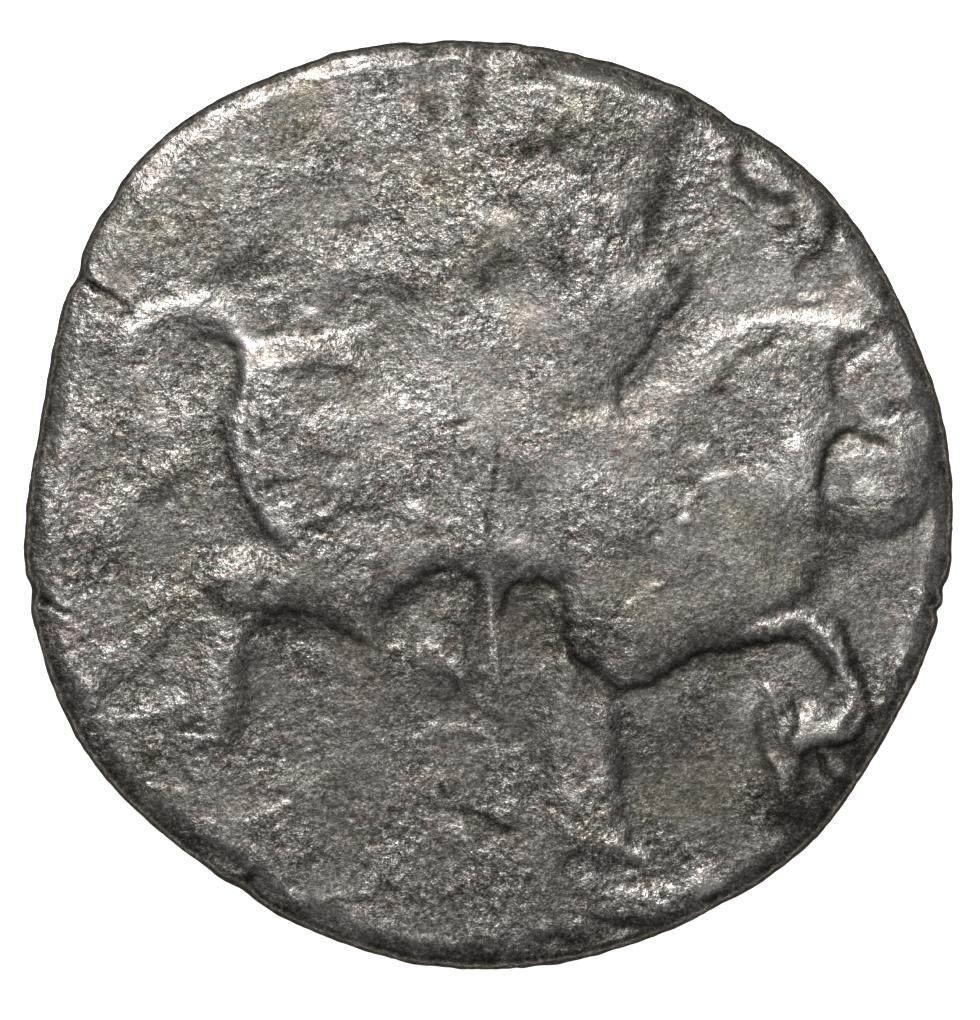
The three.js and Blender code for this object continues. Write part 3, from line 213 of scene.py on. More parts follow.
GROOVES = [
  { "name": "tail_line", "depth": 0.028, "tone": 0.75, "from": 0.18, "to": 0.15, "line": [
    [-7.95, 4.24], [-7.33, 4.29], [-6.77, 4.14], [-6.51, 3.78], [-6.48, 3.36], [-6.69, 2.77],
    [-6.84, 2.18], [-6.84, 1.61], [-6.66, 1.02], [-6.35, 0.37], [-5.94, -0.45], [-5.37, -1.22]] },
  { "name": "rump_inner", "depth": 0.007, "tone": 0.93, "from": 0.08, "to": 0.08, "line": [
    [-6.1, 3.11], [-6.2, 2.18], [-6.1, 1.25]] },
  { "name": "stroke_shadow", "depth": 0.018, "tone": 0.5, "from": 0.08, "to": 0.08, "line": [
    [-5.94, 4.34], [-5.32, 4.4], [-4.65, 4.47], [-3.93, 4.58]] },
  { "name": "belly_line", "depth": 0.03, "tone": 0.53, "from": 0.21, "to": 0.13, "line": [
    [-6.05, -2.62], [-5.43, -2.77], [-4.76, -2.8], [-4.14, -3.08], [-3.57, -3.49], [-2.75, -3.78]] },
  { "name": "arc_1", "depth": 0.037, "tone": 1.0, "from": 0.23, "to": 0.1, "line": [
    [-2.64, -2.64], [-2.18, -2.2], [-1.64, -1.87], [-0.99, -1.69], [-0.58, -1.77], [-0.32, -2.02],
    [-0.22, -2.41], [-0.22, -2.82]] },
  { "name": "arc_2", "depth": 0.037, "tone": 1.2, "from": 0.1, "to": 0.18, "line": [
    [0.43, -3.03], [0.43, -2.56], [0.55, -2.15], [1.07, -2], [1.64, -2.1], [1.92, -2.51],
    [1.95, -3.11], [2.08, -3.7], [2.44, -4.11], [2.98, -4.45]] },
  { "name": "chest_line", "depth": 0.037, "tone": 1.62, "from": 0.15, "to": 0.15, "line": [
    [3.18, -4.73], [3.91, -4.68], [4.47, -4.47], [5.07, -4.09], [5.61, -3.8], [6.48, -3.75],
    [7.05, -3.6], [7.64, -3.47], [8.08, -3.54], [8.49, -3.88], [8.8, -4.4], [9.01, -4.94]] },
  { "name": "shoulder_line", "depth": 0.035, "tone": 0.59, "from": 0.21, "to": 0.13, "line": [
    [5.14, 6.35], [5.27, 5.84], [4.99, 5.22], [4.47, 4.58], [4.06, 3.98], [3.65, 3.47],
    [3.36, 2.9], [3.42, 2.28]] },
  { "name": "palm_line", "depth": 0.02, "tone": 1.06, "from": 0.39, "to": 0.31, "line": [
    [5.3, 10.38], [4.99, 9.65], [4.63, 8.98], [4.55, 8.11], [4.34, 7.44], [4.16, 6.66]] },
  { "name": "palm_branch", "depth": 0.013, "tone": 0.55, "from": 0.21, "to": 0.13, "line": [
    [4.47, 7.75], [3.91, 7.44], [3.29, 7.08]] },
  { "name": "neck_chest", "depth": 0.018, "tone": 0.27, "from": 0.36, "to": 0.18, "line": [
    [8.8, -0.45], [8.62, -1.12], [8.47, -1.79], [8.18, -2.38], [7.67, -2.67], [7.1, -2.87],
    [6.69, -3.03]] },
  { "name": "mane_line", "depth": 0.034, "tone": 0.9, "from": 0.28, "to": 0.18, "line": [
    [5.86, 2.64], [6.02, 3.11], [6.28, 3.54], [6.69, 3.88], [7.21, 4.14], [7.77, 4.4]] },
  { "name": "ear_line", "depth": 0.032, "tone": 0.9, "from": 0.15, "to": 0.13, "line": [
    [9.89, 4.24], [9.37, 4.16], [9.01, 3.93], [8.85, 3.52], [8.93, 3], [9.09, 2.64]] },
  { "name": "cheek_line", "depth": 0.033, "tone": 1.64, "from": 0.18, "to": 0.13, "line": [
    [10.61, 1.4], [10.09, 1.61], [9.63, 1.79], [9.22, 1.87], [8.91, 1.64], [8.67, 1.15],
    [8.57, 0.58], [8.65, 0.12], [8.96, -0.24]] },
  { "name": "muzzle_line", "depth": 0.025, "tone": 0.53, "from": 0.23, "to": 0.18, "line": [
    [11.64, 2.13], [11.48, 1.4], [11.41, 0.63], [11.23, -0.09], [10.84, -0.61], [10.3, -0.86],
    [9.63, -0.73]] },
  { "name": "leg_outer", "depth": 0.033, "tone": 1.8, "from": 0.15, "to": 0.18, "line": [
    [8.8, -2.72], [9.22, -3.39], [9.47, -4.06], [9.68, -4.78], [9.83, -5.35], [9.58, -5.92],
    [9.11, -6.25], [8.6, -6.2], [8.18, -6.46], [8.06, -6.97], [8, -7.67]] },
  { "name": "curl_left", "depth": 0.02, "tone": 0.88, "from": 0.15, "to": 0.18, "line": [
    [7.02, -4.94], [6.95, -5.56], [7.08, -6.33], [7.31, -7.1], [7.57, -7.77]] },
  { "name": "curl_right", "depth": 0.059, "tone": 1.75, "from": 0.1, "to": 0.1, "line": [
    [7.77, -5.07], [7.9, -5.56], [7.69, -6.17]] },
  { "name": "lump_line", "depth": 0.075, "tone": 0.76, "from": 0.1, "to": 0.13, "line": [
    [8.49, -6.38], [8.8, -7], [9.37, -7.28]] },
  { "name": "leg_edge", "depth": 0.01, "tone": 0.27, "from": 0.26, "to": 0.26, "line": [
    [3.31, -4.83], [3.39, -5.81], [3.52, -6.84], [3.65, -7.67]] },
  { "name": "shank_edge", "depth": 0.025, "tone": 0.14, "from": 0.39, "to": 0.31, "line": [
    [-6.35, -2.46], [-6.2, -3.75], [-6.33, -5.04], [-6.51, -6.02]] },
  { "name": "far_leg_line", "depth": 0.015, "tone": 0.19, "from": 0.1, "to": 0.08, "line": [
    [-7.85, -2.87], [-8.29, -3.52], [-8.8, -4.19], [-9.4, -4.63], [-9.96, -5.07], [-10.27, -5.61]] },
  { "name": "hoof_cut", "depth": 0.013, "tone": 0.66, "from": 0.1, "to": 0.08, "line": [
    [-7.44, -5.09], [-7.69, -5.61], [-8.06, -6.02]] },
  { "name": "lobe_line", "depth": 0.015, "tone": -0.08, "from": 0.13, "to": 0.1, "line": [
    [-1.66, -4.37], [-0.99, -4.47], [-0.68, -4.99]] },
  { "name": "facet_edge", "depth": 0.013, "tone": 0.13, "from": 0.08, "to": 0.08, "line": [
    [0.45, 1.2], [0.97, 0.73], [1.33, 0.12], [1.33, -0.24]] },
  { "name": "scratch", "depth": 0.02, "tone": 1.3, "from": 0.07, "to": 0.06, "line": [
    [0.3, 1.71], [0.19, 0.89], [0.06, -0.01], [-0.09, -1.12]] },
  { "name": "foot_shadow", "depth": 0.01, "tone": 0.6, "from": 0.18, "to": 0.15, "line": [
    [-0.79, -5.14], [-0.12, -5.35], [0.45, -5.66]] },
  { "name": "exergue_line", "depth": 0.015, "tone": 0.0, "from": 0.15, "to": 0.13, "line": [
    [3.03, -9.16], [3.7, -9.34], [4.32, -9.73]] },
  { "name": "low_gash", "depth": 0.022, "tone": 1.48, "from": 0.13, "to": 0.13, "line": [
    [-0.79, -7.88], [-0.22, -8.03], [0.24, -8.31], [0.66, -8.44]] },
  { "name": "low_gash_2", "depth": 0.041, "tone": 0.06, "from": 0.1, "to": 0.1, "line": [
    [1.48, -7.62], [2, -8.03], [2.46, -8.39]] },
  { "name": "low_v", "depth": 0.01, "tone": 1.69, "from": 0.08, "to": 0.08, "line": [
    [-1.3, -7.21], [-1.04, -7.54], [-0.71, -7.08]] },
  { "name": "legend_gap_1", "depth": 0.03, "tone": 1.48, "from": 0.18, "to": 0.23, "line": [
    [6.46, 9.4], [6.38, 8.83], [6.51, 8.37], [6.92, 8.03], [7.41, 7.85], [7.98, 7.69]] },
  { "name": "legend_gap_2", "depth": 0.025, "tone": 1.3, "from": 0.26, "to": 0.15, "line": [
    [8.83, 7.69], [8.8, 6.92], [8.49, 6.43], [8.18, 6.23], [7.88, 5.68]] },
  { "name": "legend_gap_3", "depth": 0.013, "tone": 1.8, "from": 0.15, "to": 0.15, "line": [
    [7.93, 7.59], [7.77, 7.18], [7.41, 7.02]] },
  { "name": "top_hook", "depth": 0.03, "tone": 0.53, "from": 0.15, "to": 0.13, "line": [
    [1.79, 9.71], [1.74, 9.14], [2, 8.78], [2.67, 8.52]] },
  { "name": "top_band", "depth": 0.015, "tone": 1.23, "from": 0.31, "to": 0.26, "line": [
    [-0.17, 11.87], [-0.32, 10.99], [-0.48, 10.22], [-0.43, 9.5]] },
  { "name": "top_band_2", "depth": 0.013, "tone": 0.52, "from": 0.15, "to": 0.13, "line": [
    [1.33, 11.61], [1.48, 11.15], [2, 10.63], [2.62, 10.53]] },
  { "name": "scratch_2", "depth": 0.012, "tone": 0.8, "from": 0.05, "to": 0.05, "line": [
    [-5.17, 9.6], [-5.32, 9.34], [-5.43, 9.14]] },
  { "name": "scratch_3", "depth": 0.01, "tone": 0.94, "from": 0.08, "to": 0.08, "line": [
    [-4.03, 0.84], [-4.19, 0.58], [-4.34, 0.32]] },
]
# Spots: rise in mm over an ellipse at a place, with size and turn. A tone above 0 darkens the metal and below 0
# brightens it. The darkening spots named shade are painted shade where the relief turns from the light, and the
# brightening spots are partly bare metal and partly painted highlight.
SPOTS = [
  { "name": "haunch_hollow", "rise": -0.033, "tone": 0.46, "at": [-4.65, 3.39], "size": [0.88, 0.28], "turn": 4 },
  { "name": "haunch_hollow_2", "rise": -0.014, "tone": 1.01, "at": [-3.42, 3.36], "size": [0.62, 0.23], "turn": 0 },
  { "name": "haunch_dot", "rise": -0.024, "tone": 1.14, "at": [-5.84, 2.02], "size": [0.21, 0.21], "turn": 0 },
  { "name": "haunch_pit_1", "rise": -0.009, "tone": 1.04, "at": [-4.4, 1.22], "size": [0.52, 0.18], "turn": 0 },
  { "name": "haunch_pit_2", "rise": -0.012, "tone": 1.62, "at": [-5.53, 0.5], "size": [0.46, 0.15], "turn": 10 },
  { "name": "haunch_pit_3", "rise": -0.023, "tone": 0.78, "at": [-3.31, -0.12], "size": [0.72, 0.15], "turn": 4 },
  { "name": "haunch_pit_4", "rise": -0.061, "tone": 0.39, "at": [-4.5, -0.66], "size": [0.52, 0.13], "turn": -14 },
  { "name": "haunch_swell_1", "rise": 0.04, "tone": -0.81, "at": [-4.09, 2.18], "size": [0.88, 0.31], "turn": 0 },
  { "name": "haunch_swell_2", "rise": 0.017, "tone": -0.59, "at": [-4.03, 0.53], "size": [0.46, 0.18], "turn": 0 },
  { "name": "haunch_swell_3", "rise": 0.071, "tone": 0.23, "at": [-4.19, -0.3], "size": [0.36, 0.15], "turn": 0 },
  { "name": "haunch_swell_4", "rise": 0.007, "tone": -0.63, "at": [-3, -0.66], "size": [0.57, 0.21], "turn": 0 },
  { "name": "haunch_swell_5", "rise": 0.006, "tone": -0.93, "at": [-5.27, -0.4], "size": [0.41, 0.31], "turn": -40 },
  { "name": "hock", "rise": 0.127, "tone": -0.11, "at": [-6.25, -1.59], "size": [0.77, 0.52], "turn": 0 },
  { "name": "hock_pit", "rise": -0.033, "tone": 1.4, "at": [-7.13, -2.26], "size": [0.31, 0.36], "turn": 0 },
  { "name": "belly_hollow", "rise": -0.015, "tone": 0.28, "at": [-5.27, -2.82], "size": [0.62, 0.23], "turn": 0 },
  { "name": "tail_hollow", "rise": -0.012, "tone": 0.29, "at": [-7.28, 3.83], "size": [0.88, 0.52], "turn": 20 },
  { "name": "tail_hollow_2", "rise": -0.011, "tone": 0.59, "at": [-8.34, 0.37], "size": [1.19, 0.31], "turn": 50 },
  { "name": "tail_hollow_3", "rise": -0.017, "tone": 0.01, "at": [-7.44, 1.92], "size": [0.62, 0.77], "turn": 0 },
  { "name": "tail_swell", "rise": 0.007, "tone": -0.85, "at": [-8.98, 3.31], "size": [0.52, 0.31], "turn": 0 },
  { "name": "tail_swell_2", "rise": 0.047, "tone": -0.9, "at": [-7.8, 2.28], "size": [0.31, 0.36], "turn": 0 },
  { "name": "far_swell", "rise": 0.007, "tone": -1.02, "at": [-8.67, -2.26], "size": [0.41, 0.26], "turn": 0 },
  { "name": "far_swell_2", "rise": 0.007, "tone": -1.04, "at": [-9.45, -3.91], "size": [0.57, 0.26], "turn": 0 },
  { "name": "shank_swell", "rise": 0.007, "tone": -0.07, "at": [-7.13, -4.16], "size": [0.26, 0.36], "turn": 0 },
  { "name": "shank_swell_2", "rise": 0.009, "tone": -1.05, "at": [-8.21, -4.89], "size": [0.41, 0.21], "turn": 0 },
  { "name": "rider_hollow_1", "rise": -0.013, "tone": 1.03, "at": [0.4, 6.25], "size": [0.67, 0.28], "turn": 0 },
  { "name": "rider_hollow_2", "rise": -0.011, "tone": 1.01, "at": [-0.12, 5.76], "size": [0.31, 0.28], "turn": 0 },
  { "name": "rider_hollow_3", "rise": -0.013, "tone": 1.15, "at": [1.89, 6.1], "size": [0.52, 0.39], "turn": 0 },
  { "name": "rider_swell", "rise": 0.031, "tone": -0.43, "at": [3.7, 5.53], "size": [0.98, 0.41], "turn": 0 },
  { "name": "rider_swell_2", "rise": 0.007, "tone": -0.62, "at": [4.29, 6.1], "size": [0.23, 0.23], "turn": 0 },
  { "name": "rider_swell_3", "rise": 0.007, "tone": 0.04, "at": [2.49, 6.25], "size": [0.31, 0.18], "turn": -20 },
  { "name": "arm_pit", "rise": -0.033, "tone": 1.17, "at": [4.78, 5.94], "size": [0.23, 0.23], "turn": 0 },
  { "name": "palm_hollow_1", "rise": -0.013, "tone": 1.37, "at": [1.07, 9.16], "size": [1.03, 0.28], "turn": 6 },
  { "name": "palm_hollow_2", "rise": -0.031, "tone": 0.77, "at": [2.15, 9.34], "size": [0.23, 0.18], "turn": 0 },
  { "name": "palm_hollow_3", "rise": -0.029, "tone": 0.18, "at": [0.66, 7.69], "size": [0.28, 0.26], "turn": 0 },
  { "name": "palm_hollow_4", "rise": -0.012, "tone": 0.28, "at": [1.89, 6.92], "size": [0.31, 0.15], "turn": 0 },
  { "name": "palm_hollow_5", "rise": -0.007, "tone": 1.23, "at": [-1.46, 10.27], "size": [0.46, 0.36], "turn": 0 },
  { "name": "palm_hollow_6", "rise": -0.011, "tone": -0.3, "at": [-0.73, 11.41], "size": [0.41, 0.21], "turn": 0 },
  { "name": "palm_hollow_7", "rise": -0.007, "tone": 0.69, "at": [2.49, 8.57], "size": [0.36, 0.26], "turn": 0 },
  { "name": "palm_swell_1", "rise": 0.009, "tone": -1.41, "at": [0.04, 7.39], "size": [0.62, 0.26], "turn": 0 },
  { "name": "palm_swell_2", "rise": 0.016, "tone": -0.2, "at": [2.15, 8.47], "size": [0.36, 0.23], "turn": 0 },
  { "name": "palm_swell_3", "rise": 0.009, "tone": -0.66, "at": [1.33, 8.11], "size": [0.52, 0.23], "turn": 0 },
  { "name": "palm_swell_4", "rise": 0.007, "tone": 0.33, "at": [3.91, 10.74], "size": [0.62, 0.23], "turn": 10 },
  { "name": "palm_swell_5", "rise": 0.007, "tone": -0.83, "at": [3.18, 7.75], "size": [0.52, 0.23], "turn": 0 },
  { "name": "palm_swell_6", "rise": 0.007, "tone": -1.24, "at": [2.77, 6.66], "size": [0.36, 0.15], "turn": -15 },
  { "name": "palm_swell_7", "rise": 0.007, "tone": -0.47, "at": [4.21, 9.86], "size": [0.31, 0.21], "turn": 0 },
  { "name": "left_hollow_1", "rise": -0.009, "tone": 0.55, "at": [-5.89, 6.05], "size": [1.6, 0.31], "turn": 4 },
  { "name": "left_hollow_2", "rise": -0.009, "tone": 0.82, "at": [-2.13, 5.45], "size": [0.93, 0.31], "turn": 0 },
  { "name": "left_hollow_3", "rise": -0.007, "tone": 0.68, "at": [-5.84, 6.61], "size": [1.29, 0.39], "turn": 38 },
  { "name": "left_hollow_4", "rise": -0.006, "tone": 0.98, "at": [-3.57, 7.21], "size": [0.57, 0.15], "turn": 4 },
  { "name": "left_hollow_5", "rise": -0.006, "tone": -0.03, "at": [-3.57, 5.07], "size": [0.67, 0.26], "turn": 0 },
  { "name": "left_swell_1", "rise": 0.042, "tone": -0.24, "at": [-3.11, 6.25], "size": [0.93, 0.36], "turn": 0 },
  { "name": "left_swell_2", "rise": 0.02, "tone": -0.78, "at": [-8.16, 7.02], "size": [0.31, 0.26], "turn": 0 },
  { "name": "left_swell_3", "rise": 0.006, "tone": -1.8, "at": [-4.6, 4.96], "size": [0.36, 0.23], "turn": 0 },
  { "name": "left_swell_4", "rise": 0.024, "tone": -0.78, "at": [-7.31, 5.27], "size": [1.03, 0.23], "turn": 0 },
  { "name": "legend_swell_1", "rise": 0.007, "tone": 0.06, "at": [7.31, 8.67], "size": [0.31, 0.26], "turn": 0 },
  { "name": "legend_swell_2", "rise": 0.007, "tone": -0.44, "at": [8.31, 6.9], "size": [0.18, 0.23], "turn": 0 },
  { "name": "legend_swell_3", "rise": 0.014, "tone": -1.04, "at": [6.23, 7.08], "size": [0.36, 0.18], "turn": -25 },
  { "name": "legend_swell_4", "rise": 0.006, "tone": -1.05, "at": [7.21, 6.46], "size": [0.31, 0.18], "turn": 0 },
  { "name": "field_swell_1", "rise": 0.043, "tone": -0.31, "at": [8.34, 5.32], "size": [0.36, 0.15], "turn": 0 },
  { "name": "field_swell_2", "rise": 0.028, "tone": -0.15, "at": [9.58, 5.58], "size": [0.57, 0.26], "turn": 20 },
  { "name": "face_hollow", "rise": -0.036, "tone": 1.49, "at": [10.09, 4.7], "size": [0.41, 0.26], "turn": -20 },
  { "name": "face_pit", "rise": -0.009, "tone": 0.13, "at": [10.35, 2.56], "size": [0.21, 0.15], "turn": 0 },
  { "name": "muzzle_hollow", "rise": -0.013, "tone": 0.54, "at": [8.8, -0.55], "size": [0.39, 0.21], "turn": -20 },
  { "name": "muzzle_swell", "rise": 0.025, "tone": -1.1, "at": [9.73, 0.37], "size": [0.41, 0.31], "turn": 0 },
  { "name": "neck_swell_1", "rise": 0.007, "tone": -0.59, "at": [4.63, 2.9], "size": [0.57, 0.31], "turn": 0 },
  { "name": "neck_swell_2", "rise": 0.025, "tone": -0.41, "at": [8.08, 1.51], "size": [0.57, 0.41], "turn": 0 },
  { "name": "neck_swell_3", "rise": 0.038, "tone": -0.72, "at": [5.45, 1.3], "size": [0.36, 0.21], "turn": 0 },
  { "name": "neck_swell_4", "rise": 0.006, "tone": -0.59, "at": [7.26, 0.89], "size": [0.52, 0.41], "turn": 0 },
  { "name": "flank_pit_1", "rise": -0.015, "tone": 1.17, "at": [5.14, 0.61], "size": [0.23, 0.15], "turn": 0 },
  { "name": "flank_pit_2", "rise": -0.015, "tone": 1.04, "at": [3.8, -0.32], "size": [0.23, 0.15], "turn": 0 },
  { "name": "flank_pit_3", "rise": -0.052, "tone": -0.4, "at": [4.29, -0.79], "size": [0.18, 0.1], "turn": 0 },
  { "name": "flank_pit_4", "rise": -0.026, "tone": 0.22, "at": [5.58, 0.32], "size": [0.15, 0.21], "turn": 0 },
  { "name": "flank_swell_1", "rise": 0.013, "tone": -0.27, "at": [5.09, 0.06], "size": [0.18, 0.18], "turn": 0 },
  { "name": "flank_swell_2", "rise": 0.05, "tone": -1.8, "at": [5.04, -0.43], "size": [0.21, 0.15], "turn": 0 },
  { "name": "facet", "rise": -0.007, "tone": 0.74, "at": [0.76, 0.53], "size": [0.57, 0.36], "turn": -45 },
  { "name": "girth_swell_1", "rise": 0.007, "tone": -0.75, "at": [0.71, -1.02], "size": [0.46, 0.23], "turn": 0 },
  { "name": "girth_swell_2", "rise": 0.007, "tone": -0.22, "at": [-0.63, -0.4], "size": [0.36, 0.41], "turn": 0 },
  { "name": "girth_swell_3", "rise": 0.036, "tone": -1.21, "at": [-1.92, -0.14], "size": [0.36, 0.23], "turn": 0 },
  { "name": "girth_pit_1", "rise": -0.007, "tone": 1.79, "at": [-0.84, 2.15], "size": [0.31, 0.1], "turn": 10 },
  { "name": "girth_pit_2", "rise": -0.007, "tone": 1.26, "at": [0.81, 1.66], "size": [0.13, 0.15], "turn": 0 },
  { "name": "girth_pit_3", "rise": -0.008, "tone": 0.65, "at": [-1.51, -0.66], "size": [0.15, 0.21], "turn": 0 },
  { "name": "girth_pit_4", "rise": -0.007, "tone": 0.5, "at": [-1.97, 0.27], "size": [0.36, 0.1], "turn": 0 },
  { "name": "girth_pit_5", "rise": -0.006, "tone": 0.97, "at": [-0.61, 0.68], "size": [0.31, 0.1], "turn": 0 },
  { "name": "hoof_hollow", "rise": -0.019, "tone": 1.44, "at": [7.77, -8.13], "size": [0.52, 0.31], "turn": 25 },
  { "name": "hoof_hollow_2", "rise": -0.034, "tone": -0.0, "at": [9.11, -7.21], "size": [0.31, 0.21], "turn": 30 },
  { "name": "curl_swell", "rise": 0.012, "tone": -0.84, "at": [7.31, -4.83], "size": [0.21, 0.21], "turn": 0 },
  { "name": "leg_swell", "rise": 0.015, "tone": -0.77, "at": [2.98, -7], "size": [0.36, 0.36], "turn": 0 },
  { "name": "leg_swell_2", "rise": 0.009, "tone": -1.19, "at": [2.1, -7.46], "size": [0.41, 0.23], "turn": 0 },
  { "name": "low_hollow_1", "rise": -0.16, "tone": 0.25, "at": [3.44, -10.81], "size": [0.82, 0.23], "turn": -6 },
  { "name": "low_hollow_2", "rise": -0.009, "tone": 0.89, "at": [2.15, -11.18], "size": [0.46, 0.21], "turn": -20 },
  { "name": "low_hollow_3", "rise": -0.16, "tone": -0.23, "at": [-6.46, -9.53], "size": [1.13, 0.41], "turn": -34 },
  { "name": "low_hollow_4", "rise": -0.03, "tone": 0.66, "at": [-2.49, -9.94], "size": [0.23, 0.21], "turn": 0 },
  { "name": "low_swell_1", "rise": 0.016, "tone": -0.92, "at": [-0.73, -8.49], "size": [0.26, 0.23], "turn": 0 },
  { "name": "low_swell_2", "rise": 0.006, "tone": -0.25, "at": [0.14, -8.91], "size": [0.36, 0.21], "turn": 0 },
  { "name": "low_swell_3", "rise": 0.017, "tone": -0.72, "at": [2.51, -9.63], "size": [0.36, 0.21], "turn": 0 },
  { "name": "low_swell_4", "rise": 0.031, "tone": -0.35, "at": [-7.9, -7.44], "size": [0.23, 0.18], "turn": 0 },
  { "name": "low_swell_5", "rise": 0.015, "tone": 0.0, "at": [-6.61, -8.29], "size": [0.36, 0.23], "turn": 0 },
  { "name": "low_swell_6", "rise": 0.037, "tone": -0.86, "at": [3.8, -9.04], "size": [0.36, 0.21], "turn": 0 },
  { "name": "barrel_pit_1", "rise": -0.019, "tone": 0.53, "at": [-1.04, -5.04], "size": [0.52, 0.15], "turn": 0 },
  { "name": "field_pit_1", "rise": -0.022, "tone": -0.3, "at": [-4.86, -4.32], "size": [0.26, 0.21], "turn": 0 },
  { "name": "field_pit_2", "rise": -0.023, "tone": -0.4, "at": [-1.97, -6.2], "size": [0.21, 0.13], "turn": 0 },
  { "name": "belly_shade", "rise": -0.066, "tone": 0.35, "at": [-1.25, -3.03], "size": [3.09, 0.88], "turn": 0 },
  { "name": "belly_shade_2", "rise": -0.01, "tone": 0.3, "at": [-4.4, -2.46], "size": [1.7, 0.67], "turn": -16 },
  { "name": "belly_shade_3", "rise": -0.006, "tone": 0.86, "at": [2.49, -3.49], "size": [1.03, 1.13], "turn": -40 },
  { "name": "chest_shade", "rise": -0.006, "tone": 0.32, "at": [5.45, -3.49], "size": [2.06, 0.72], "turn": 12 },
  { "name": "chest_shade_2", "rise": -0.039, "tone": 0.1, "at": [8.03, -1.43], "size": [0.77, 1.55], "turn": -10 },
  { "name": "field_shade", "rise": -0.004, "tone": 0.43, "at": [-0.22, -4.01], "size": [1.55, 1.55], "turn": 0 },
  { "name": "field_shade_2", "rise": -0.011, "tone": 0.27, "at": [5.45, -6.33], "size": [2.32, 1.55], "turn": 0 },
  { "name": "field_shade_3", "rise": -0.132, "tone": 0.06, "at": [-4.86, -5.04], "size": [1.55, 1.55], "turn": 0 },
  { "name": "far_shade", "rise": -0.018, "tone": 0.31, "at": [-9.5, -1.43], "size": [1.55, 0.77], "turn": 0 },
  { "name": "flank_swell", "rise": 0.014, "tone": -0.45, "at": [-1.51, 2.69], "size": [2.32, 1.29], "turn": 12 },
  { "name": "flank_swell_3", "rise": 0.006, "tone": -0.34, "at": [1.84, 0.63], "size": [2.32, 1.29], "turn": 0 },
  { "name": "lap", "rise": 0.006, "tone": -1.01, "at": [0.92, 4.96], "size": [1.19, 0.57], "turn": 14 },
  { "name": "lap_2", "rise": 0.006, "tone": -0.19, "at": [-0.99, 3.93], "size": [1.29, 0.52], "turn": 10 },
  { "name": "rump_swell", "rise": 0.006, "tone": -1.19, "at": [-3.52, 4.5], "size": [0.62, 0.36], "turn": 0 },
  { "name": "withers", "rise": 0.027, "tone": -0.16, "at": [3.91, 1.66], "size": [1.55, 1.03], "turn": 0 },
  { "name": "over_neck", "rise": 0.008, "tone": -0.7, "at": [7.31, 5.74], "size": [1.8, 0.52], "turn": 6 },
  { "name": "over_neck_2", "rise": 0.006, "tone": -0.57, "at": [5.61, 4.81], "size": [0.77, 0.41], "turn": 35 },
  { "name": "chest_swell", "rise": 0.083, "tone": -0.05, "at": [5.45, -0.4], "size": [2.06, 1.29], "turn": 0 },
  { "name": "throat_swell", "rise": 0.062, "tone": -0.5, "at": [8.18, 0.89], "size": [0.67, 1.29], "turn": -14 },
  { "name": "curl_swell_2", "rise": 0.006, "tone": -1.35, "at": [6.79, -5.19], "size": [0.46, 0.57], "turn": 0 },
  { "name": "hoof_swell", "rise": 0.007, "tone": -1.8, "at": [8.24, -5.94], "size": [0.67, 0.41], "turn": 0 },
  { "name": "hoof_shade", "rise": -0.007, "tone": 1.44, "at": [8.03, -7.62], "size": [1.19, 0.57], "turn": 25 },
  { "name": "hoof_shade_2", "rise": -0.007, "tone": 1.8, "at": [9.37, -6.41], "size": [0.67, 0.36], "turn": 20 },
  { "name": "shank_shade", "rise": -0.006, "tone": 1.4, "at": [-6.72, -2.64], "size": [0.46, 0.31], "turn": 0 },
  { "name": "shank_shade_2", "rise": -0.063, "tone": 1.25, "at": [-5.37, -3.18], "size": [0.88, 0.36], "turn": -10 },
  { "name": "leg_shade", "rise": -0.006, "tone": 1.09, "at": [2.82, -4.78], "size": [0.77, 0.31], "turn": 0 },
  { "name": "leg_shade_2", "rise": -0.064, "tone": 0.38, "at": [1.07, -2.98], "size": [0.62, 1.03], "turn": 0 },
  { "name": "low_swell_7", "rise": 0.006, "tone": -1.8, "at": [5.76, -9.78], "size": [0.67, 0.31], "turn": 0 },
  { "name": "low_swell_8", "rise": 0.006, "tone": -0.63, "at": [-3.21, -10.84], "size": [1.55, 0.31], "turn": -8 },
  { "name": "low_shade", "rise": -0.006, "tone": 0.78, "at": [0.3, -8.39], "size": [0.77, 0.26], "turn": 0 },
  { "name": "low_shade_2", "rise": -0.16, "tone": -0.4, "at": [2.87, -11.23], "size": [1.55, 0.31], "turn": 4 },
  { "name": "right_swell", "rise": 0.006, "tone": -1.0, "at": [10.97, -3.62], "size": [0.41, 0.52], "turn": 0 },
  { "name": "right_swell_2", "rise": 0.006, "tone": -0.54, "at": [11.51, -0.66], "size": [0.26, 1.29], "turn": 0 },
  { "name": "left_swell_5", "rise": 0.006, "tone": -0.33, "at": [-2.9, 2.46], "size": [1.03, 0.41], "turn": 0 },
  { "name": "left_swell_6", "rise": 0.009, "tone": -0.73, "at": [-3.73, 10.25], "size": [1.29, 0.67], "turn": 0 },
  { "name": "left_swell_7", "rise": 0.065, "tone": -0.1, "at": [-10.27, -4.78], "size": [0.41, 0.52], "turn": 0 },
  { "name": "legend_shade", "rise": -0.085, "tone": 0.14, "at": [9.09, 7.31], "size": [0.36, 0.62], "turn": 0 },
  { "name": "left_shade", "rise": -0.006, "tone": 0.17, "at": [-11.25, 2.38], "size": [0.31, 0.77], "turn": 0 },
  { "name": "rim_shade", "rise": -0.047, "tone": 0.56, "at": [-7.69, -8.7], "size": [1.03, 0.36], "turn": -40 },
  { "name": "rim_shade_2", "rise": -0.011, "tone": 1.7, "at": [1.17, 11.15], "size": [0.93, 0.26], "turn": 0 },
  { "name": "rim_shade_3", "rise": -0.007, "tone": 0.26, "at": [4.99, 10.43], "size": [0.57, 0.36], "turn": -30 },
  { "name": "rim_shade_4", "rise": -0.006, "tone": 0.44, "at": [1.84, -11.43], "size": [1.03, 0.23], "turn": 8 },
  { "name": "right_swell_3", "rise": 0.065, "tone": -0.24, "at": [11.28, -2.56], "size": [0.31, 0.46], "turn": 0 },
